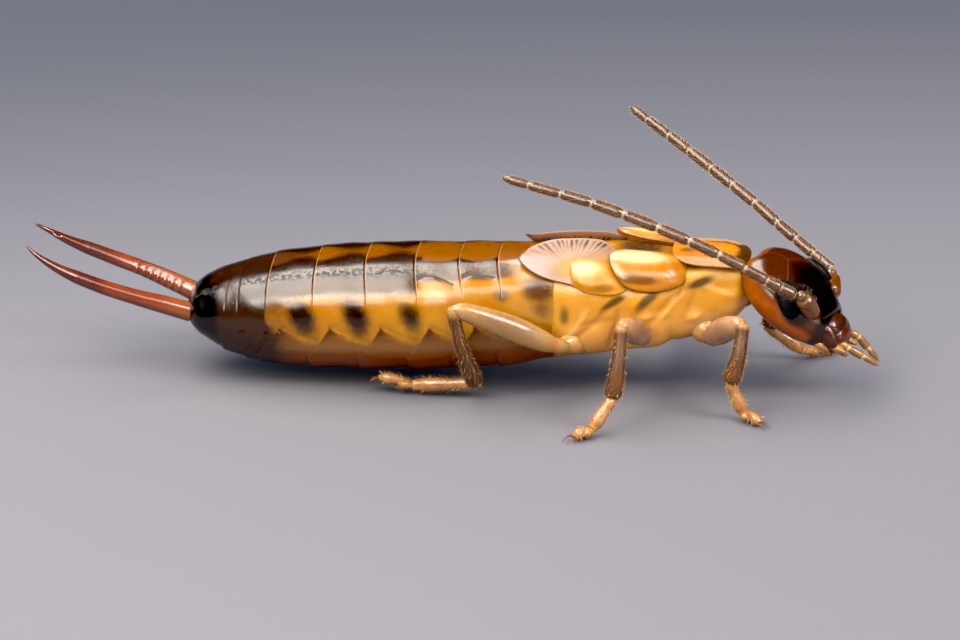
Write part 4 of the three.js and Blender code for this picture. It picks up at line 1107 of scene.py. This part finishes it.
palpCuticle = cuticle("palpCuticle", {    # thin clear straw-coloured skin, brown along the last joints
    "base": ("#865C2C", "#6E4820"), "cloudSize": 0.12,
    "layers": (("shade", "#5E3814", 0.7), ("joint", "#C8A066", 0.6)),
    "pitSpacing": 0.03, "pitDepth": 0.003, "waveSize": 0.08, "waveShare": 1.2, "bump": 0.4,
    "roughness": (0.2, 0.36), "gloss": 0.55, "coat": 0.1, "soak": 0.3, "soakDepth": 0.1,
})
for sideName, side in sides:
    palpShape(sideName).piece(f"mouthFeeler.{sideName}", "palps", palpCuticle, (f"palp_{sideName}",))
print("feelers made")

# Forceps
forcepsLook = {
    "route": ((-5.05, 0.5, 1.14), (-5.45, 0.6, 1.28), (-6.0, 0.72, 1.46), (-6.65, 0.77, 1.67), (-7.35, 0.74, 1.94),
              (-7.78, 0.66, 2.18), (-7.92, 0.58, 2.28)),
    "radii": (0.19, 0.175, 0.15, 0.14, 0.125, 0.075, 0.02), "flat": 0.88,
    "teeth": 7, "toothStep": 0.045, "toothHeight": 0.035, "bigToothHeight": 0.045, "steps": 170, "columns": 48,
}

def forcepsShape(side):
    look = forcepsLook
    route = smoothRoute([(x, y * side, z) for x, y, z in look["route"]], look["steps"])
    share = shareAlong(route)
    radii = np.interp(share, np.linspace(0, 1, len(look["radii"])), look["radii"])[:, None]
    turn = turns(look["columns"])
    across = routeFrames(route)[1]
    inward = np.cos(turn) * (1 if across[look["steps"] // 2, 1] * side < 0 else -1)
    teeth = look["toothHeight"] * sum(hill(share, 0.1 + look["toothStep"] * k, 0.013) for k in range(look["teeth"]))
    teeth += look["bigToothHeight"] * hill(share, 0.86, 0.02)
    toothed = 1 + teeth[:, None] / radii * np.maximum(inward, 0) ** 6
    ridge = 1 + 0.07 * np.maximum(np.sin(turn), 0) ** 8 - 0.05 * np.maximum(-inward, 0) ** 4
    shape = Shape()
    shape.addTube(route, radii * toothed * ridge, look["columns"],
                  {"root": fall(0.05, 0.3, share)[:, None], "tip": rise(0.35, 0.7, share)[:, None],
                   # painted shade on the underside
                   "under": np.maximum(-np.sin(turn), 0)}, look["flat"])
    return shape

# thick hard horn: dark red-brown, clearer and orange at the root, glass gloss, with painted shade along its underside
forcepsCuticle = cuticle("redForcepsCuticle", {
    "base": ("#66280F", "#501C0A"), "cloudSize": 0.4,
    "layers": (("root", "#6A3616", 0.85), ("tip", "#3A1006", 0.85), ("under", "#220803", 0.6)),
    "pitSpacing": 0.05, "pitDepth": 0.003, "waveSize": 0.2, "waveShare": 1.2, "bump": 0.3,
    "roughness": (0.14, 0.26), "gloss": 0.65, "coat": 0.2, "soak": 0.15, "soakDepth": 0.15,
})
for sideName, side in sides:
    forcepsShape(side).piece(f"forcepsArm.{sideName}", "forceps", forcepsCuticle, (f"forceps_{sideName}",))
print("forceps made")

# Legs
legRoutes = {    # hip, thigh, knee, shin, ankle, sole, toe
    "fore_right": ((3.95, -0.42, 1.22), (4.12, -0.82, 1.16), (4.77, -1.5, 1.66), (4.72, -1.74, 1.18),
                   (4.58, -1.82, 0.68), (4.8, -1.8, 0.14), (5.13, -2.15, 0.09)),
    "fore_left": ((3.95, 0.42, 1.22), (4.2, 0.82, 1.16), (5.22, 1.36, 1.58), (5.12, 1.36, 1.1), (4.97, 1.28, 0.6),
                  (5.6, 1.42, 0.14), (6.06, 1.68, 0.09)),
    "mid_right": ((2.95, -0.46, 1.08), (2.98, -0.94, 1.16), (2.7, -2.12, 1.76), (2.68, -2.42, 1.18), (2.6, -2.6, 0.6),
                  (2.27, -2.93, 0.14), (1.99, -3.2, 0.09)),
    "mid_left": ((2.95, 0.46, 1.08), (3.0, 0.94, 1.16), (2.92, 2.08, 1.72), (2.96, 2.4, 1.18), (2.98, 2.6, 0.6),
                 (2.75, 2.9, 0.14), (2.5, 3.14, 0.09)),
    "hind_right": ((1.95, -0.5, 0.96), (1.5, -1.32, 1.06), (-0.29, -1.9, 1.9), (-0.1, -1.78, 1.05), (0.04, -1.2, 0.27),
                   (-1.08, -1.13, 0.17), (-1.66, -1.12, 0.29)),
    "hind_left": ((1.95, 0.5, 0.96), (1.5, 1.32, 1.04), (-0.25, 1.9, 1.5), (-0.85, 1.98, 0.95), (-1.3, 1.98, 0.3),
                  (-2.0, 1.96, 0.15), (-2.48, 2.0, 0.13)),
}
legLook = {
    "coxa": 0.25, "trochanter": 0.14, "thigh": {"fore": 0.225, "mid": 0.225, "hind": 0.22}, "knee": 0.145,
    "shin": {"fore": 0.145, "mid": 0.14, "hind": 0.135}, "foot": 0.12, "clawLength": 0.2, "clawRadius": 0.028,
    "clawSpread": 0.07, "clawTip": 0.03, "spineLength": 0.1, "spineRadius": 0.009,
    "columns": {"thigh": 44, "shin": 36, "foot": 28, "claw": 12, "spine": 6},
}

def legPoints(name, first, last):
    return [np.array(point) for point in legRoutes[name][first:last]]

def profiled(share, profile):
    return np.interp(share, np.linspace(0, 1, len(profile)), profile)

def thighShape(name):
    kind, columns = name.split("_")[0], legLook["columns"]["thigh"]
    hip, thigh, knee = legPoints(name, 0, 3)
    shape = Shape()
    # Coxa: a short stout joint out of the body
    way = smoothRoute([hip - (thigh - hip) * 0.1, hip + (thigh - hip) * 0.5, thigh - (thigh - hip) * 0.08], 30)
    share = shareAlong(way)
    stout = 0.75 + 0.25 * np.sin(np.pi * np.clip(share + 0.1, 0, 1))
    radii = legLook["coxa"] * stout * np.sqrt(np.clip(1.04 - share ** 4, 0.05, 1))
    shape.addTube(way, radii, columns, {"bodySkin": 1 - 0.6 * rise(0.75, 1.0, share)[:, None]})
    # Trochanter and femur: narrow neck, full thigh, then the pale knee
    away = unit(knee - thigh)
    way = smoothRoute([thigh - away * 0.12 + (hip - thigh) * 0.12, thigh + away * 0.12,
                       thigh + (knee - thigh) * 0.5 + (0, 0, 0.03),
                       knee - away * 0.1, knee + (0, 0, -0.05)], 90)
    share = shareAlong(way)
    neck, full, end = legLook["trochanter"], legLook["thigh"][kind], legLook["knee"]
    radii = np.interp(share, [0, 0.05, 0.12, 0.2, 0.4, 0.62, 0.82, 0.93, 1.0],
                      [0.6 * neck, neck, 0.92 * neck, 0.8 * full, full, 0.96 * full, 0.78 * full, end, 0.45 * end])
    radii = np.convolve(np.pad(radii, 3, mode="edge"), np.ones(7) / 7, mode="valid")[:, None]
    turn = turns(columns)
    share = share[:, None]
    groove = 1 - 0.07 * hill(turn, 4.7, 0.3) * np.sin(np.pi * share)
    shape.addTube(way, radii * groove, columns, {
        "joint": hill(share, 0.14, 0.035) + rise(0.93, 0.99, share) * 0.7, "knee": rise(0.84, 0.96, share),
        "haze": hill(share, 0.55, 0.3) * (0.5 + 0.5 * np.sin(turn * 2 + 1)), "straw": float(kind == "hind")}, 1.04)
    return shape

def shinShape(name):
    knee, shin, ankle = legPoints(name, 2, 5)
    columns = legLook["columns"]["shin"]
    way = smoothRoute([knee + (knee - shin) * 0.02, knee + (shin - knee) * 0.35, shin, ankle], 80)
    share = shareAlong(way)
    radii = legLook["shin"][name.split("_")[0]] * np.interp(share, [0, 0.04, 0.1, 0.3, 0.7, 0.9, 0.97, 1.0],
                                                            [0.5, 0.8, 0.84, 0.82, 1.0, 1.1, 0.98, 0.55])
    lines = sum(hill(np.angle(np.exp(1j * (turns(columns) - line))), 0, 0.2) for line in (0.4, 2.5, 4.2, 5.4))
    share = share[:, None]
    shape = Shape(unwrapped=True)
    shape.addTube(way, radii, columns, {"joint": fall(0.02, 0.14, share), "shade": hill(share, 0.45, 0.3),
                                   "middleLine": hill(share, 0.5, 0.3) * lines})
    addSpines(shape, way, radii, 0.2, 0.98, 34, seed=sum(map(ord, name)))
    return shape

# Stiff spines along a shin or foot, longest at its end
spineProfile = np.array([1.2, 1.0, 0.6, 0.15])

def addSpines(shape, way, radii, start, end, count, seed):
    chance = np.random.default_rng(seed)
    along, side, up = routeFrames(way)
    columns = legLook["columns"]["spine"]
    for k in range(count):
        where = start + (end - start) * (k + 0.4 * chance.random()) / count
        i = int(where * (len(way) - 1))
        turn = chance.uniform(0, 2 * math.pi)
        outward = side[i] * math.cos(turn) + up[i] * math.sin(turn)
        length = legLook["spineLength"] * (0.55 + 0.5 * where + 0.25 * chance.random())
        root = way[i] + outward * radii[i] * 0.8
        tip = root + unit(outward + along[i] * 0.75) * length
        spine = smoothRoute([root, (root + tip) / 2 + outward * 0.006, tip], len(spineProfile))
        shape.addGrid(tubeGrid(spine, legLook["spineRadius"] * spineProfile, columns), {"spine": 1},
                      (root, tip))

def footShape(name):
    ankle, sole, toe = legPoints(name, 4, 7)
    full, columns = legLook["foot"], legLook["columns"]
    away = unit(toe - sole)
    first = smoothRoute([ankle - (sole - ankle) * 0.1, ankle + (sole - ankle) * 0.55, sole + (ankle - sole) * 0.02], 40)
    second = smoothRoute([sole - away * 0.02, sole + away * 0.12, sole + away * 0.24], 20)
    third = smoothRoute([sole + away * 0.1 + (0, 0, 0.04), sole + (toe - sole) * 0.6 + (0, 0, 0.03), toe], 34)
    shape = Shape(unwrapped=True)
    for way, profile, flat in ((first, (0.5, 0.85, 0.8, 0.95, 1.0, 0.7), 1.0), (second, (0.6, 1.0, 1.25, 0.7), 0.62),
                               (third, (0.4, 0.6, 0.72, 0.85, 0.8, 0.35), 0.95)):
        share = shareAlong(way)
        marks = {"joint": (hill(share, 0, 0.1) + hill(share, 1, 0.06))[:, None], "shade": share[:, None] * 0.5}
        shape.addTube(way, full * profiled(share, profile), columns["foot"], marks, flat)
    seed = sum(map(ord, name))
    addSpines(shape, first, np.full(len(first), full * 0.85), 0.1, 0.95, 12, seed + 1)
    addSpines(shape, third, np.full(len(third), full * 0.7), 0.3, 0.95, 5, seed + 2)
    across = unit(np.cross(away, (0, 0, 1)))
    for outward in (-across, across):
        tip = toe + away * legLook["clawLength"] + outward * legLook["clawSpread"]
        tip[2] = max(legLook["clawTip"], toe[2] - 0.16)
        claw = smoothRoute([toe - away * 0.05, (toe + tip) / 2 + outward * 0.03 + (0, 0, 0.05), tip], 16)
        radii = np.linspace(1, 0.15, len(claw)) * legLook["clawRadius"]
        shape.addTube(claw, radii, columns["claw"], {"claw": 1, "spine": 1})
    return shape

# nearly clear skin over pale flesh: milky pink-beige that light goes into
femurCuticle = cuticle("clearFemurCuticle", {
    "base": ("#9A7050", "#8A6042"), "cloudSize": 0.25,
    "layers": (("straw", "#8A6634", 0.9), ("haze", "#5E4430", 0.6), ("knee", "#8E6A3C", 0.8), ("joint", "#98582A", 0.6),
               ("bodySkin", "#A87638", 0.9)),
    "pitSpacing": 0.08, "pitDepth": 0.003, "waveSize": 0.16, "waveShare": 1.4, "bump": 0.25,
    "roughness": (0.2, 0.32), "soak": 0.6, "soakDepth": 0.25, "clear": 0.12,
})
shinCuticle = cuticle("brownShinCuticle", {    # tanned clear skin, darker along the middle, with amber bristles
    "base": ("#542E0E", "#44240A"), "cloudSize": 0.2,
    "layers": (("shade", "#4E2E18", 0.6), ("middleLine", "#2A1208", 0.8), ("joint", "#8A6430", 0.85),
               ("spine", "#94642C", 0.8)),
    "pitSpacing": 0.035, "pitDepth": 0.004, "waveSize": 0.1, "waveShare": 1.4, "bump": 0.5,
    "roughness": (0.34, 0.5), "gloss": 0.3, "soak": 0.3, "soakDepth": 0.15,
})
footCuticle = cuticle("goldenFootCuticle", {    # thin orange skin on small pads, the claws dark and hard
    "base": ("#946636", "#825226"), "cloudSize": 0.15,
    "layers": (("shade", "#945C20", 0.5), ("joint", "#A07A40", 0.7), ("spine", "#A87A3C", 0.8),
               ("claw", "#4A200C", 0.95)),
    "pitSpacing": 0.03, "pitDepth": 0.003, "waveSize": 0.08, "waveShare": 1.4, "bump": 0.5,
    "roughness": (0.2, 0.36), "gloss": 0.55, "coat": 0.1, "soak": 0.35, "soakDepth": 0.12,
})
for legName in legRoutes:
    thighShape(legName).piece(f"femur.{legName}", "femora", femurCuticle, (f"femur_{legName}",))
    shinShape(legName).piece(f"tibia.{legName}", "tibiae", shinCuticle, (f"tibia_{legName}",))
    footShape(legName).piece(f"tarsus.{legName}", "tarsi", footCuticle, (f"tarsus_{legName}",))
print("legs made")

# Down: fine short hairs that Geometry Nodes plant on the limbs, each leaning to its limb's end
downLooks = {    # hair length, thickness and spacing in mm, and how far it leans
    "feelerLash": {"length": 0.055, "thickness": 0.0045, "spacing": 0.042, "lean": 1.1},
    "mouthFeeler": {"length": 0.07, "thickness": 0.004, "spacing": 0.06, "lean": 0.8},
    "tibia": {"length": 0.07, "thickness": 0.0045, "spacing": 0.06, "lean": 0.9},
    "tarsus": {"length": 0.09, "thickness": 0.0045, "spacing": 0.05, "lean": 0.8},
}
patchCorners, patchSize = 5, 0.0015    # each hair's patch on the bake map

def downTree(material):
    tree, given = plantingTree("downPlanting", ("Hair Length", "Hair Thickness", "Hair Spacing"), ("Lean",))
    spine = addNode(tree, "GeometryNodeInputNamedAttribute", {"data_type": "FLOAT"}, {"Name": "spine"})
    bare = addNode(tree, "ShaderNodeMath", {"operation": "LESS_THAN"}, {0: spine.outputs[0], 1: 0.5})
    roots = spotsOver(tree, given["Geometry"], given["Hair Spacing"], density=1.5e9, seed=11, Selection=bare.outputs[0])
    lay = addNode(tree, "ShaderNodeVectorMath", {"operation": "ADD"}, {0: roots["Normal"], 1: given["Lean"]})
    turned = addNode(tree, "FunctionNodeAlignRotationToVector", {"axis": "Z"}, {"Vector": lay.outputs[0]})
    hair = addNode(tree, "GeometryNodeMeshCone", {"fill_type": "TRIANGLE_FAN"},
                   {"Vertices": 3, "Side Segments": 1, "Fill Segments": 1, "Radius Top": 0.0,
                    "Radius Bottom": given["Hair Thickness"], "Depth": given["Hair Length"]})
    chance = addNode(tree, "FunctionNodeRandomValue", {"data_type": "FLOAT"}, {2: 0.6, 3: 1.25, "Seed": 4})
    hairs = plantedAt(tree, roots["Points"], hair.outputs["Mesh"], turned.outputs[0], chance.outputs[1])
    return finishTree(tree, hairs, material)

def markOf(mesh, name):
    values = np.zeros(len(mesh.vertices), np.float32)
    mesh.attributes[name].data.foreach_get("value", values)
    return values

# Lays each hair's patch at its root's place on its limb's unwrap
def unwrapDown(mesh):
    disc = np.round(markOf(mesh, "disc")).astype(int)
    across = int(math.ceil(math.sqrt(disc.max() + 1)))
    column = disc % across + 0.5 + 0.48 * markOf(mesh, "discU")
    row = disc // across + 0.5 + 0.48 * markOf(mesh, "discV")
    corner = np.zeros(len(mesh.loops), np.int32)
    mesh.loops.foreach_get("vertex_index", corner)
    turn = corner % patchCorners * (2 * math.pi / patchCorners)
    patch = np.stack([np.cos(turn), np.sin(turn)], axis=-1) * patchSize
    place = np.stack([column, row], axis=-1)[corner] / across + patch
    mesh.uv_layers.new(name="OFBake").data.foreach_set("uv", place.astype(np.float32).reshape(-1))

hairMaterial = cuticle("goldenHair", {    # clear amber bristle, seen as a fine bright line
    "base": ("#8A6840", "#6E4E2C"), "cloudSize": 0.3,
    "pitSpacing": 0.05, "pitDepth": 0.001, "waveSize": 0.1, "waveShare": 1.0, "bump": 0.1,
    "roughness": (0.3, 0.45), "soak": 0.1, "soakDepth": 0.05,
})
downPlanting = downTree(hairMaterial)

def growDown(kind, place, start, end):
    look = downLooks[kind]
    down = newObject(f"{kind}Down.{place}", bpy.data.objects[f"{kind}.{place}"].data.copy())
    sizes = {f"Hair {size.capitalize()}": look[size] * millimetre for size in ("length", "thickness", "spacing")}
    lean = unit(np.array(end) - np.array(start)) * look["lean"]
    growWith(down, downPlanting, {**sizes, "Lean": tuple(float(v) for v in lean)})
    unwrapDown(down.data)
    for point in down.data.vertices:
        point.co.z = max(point.co.z, 0.0)
    settle(down)
    return len(down.data.polygons)

hairFaces = 0
for sideName, side in sides:
    for kind, slotName, route in (("feelerLash", "antennae", feelerRoutes[sideName]["lash"]),
                                  ("mouthFeeler", "palps", palpRoutes[sideName])):
        hairFaces += growDown(kind, sideName, route[0], route[-1])
for legName, route in legRoutes.items():
    hairFaces += growDown("tibia", legName, route[2], route[4])
    hairFaces += growDown("tarsus", legName, route[4], route[6])
print("down planted:", hairFaces, "faces")
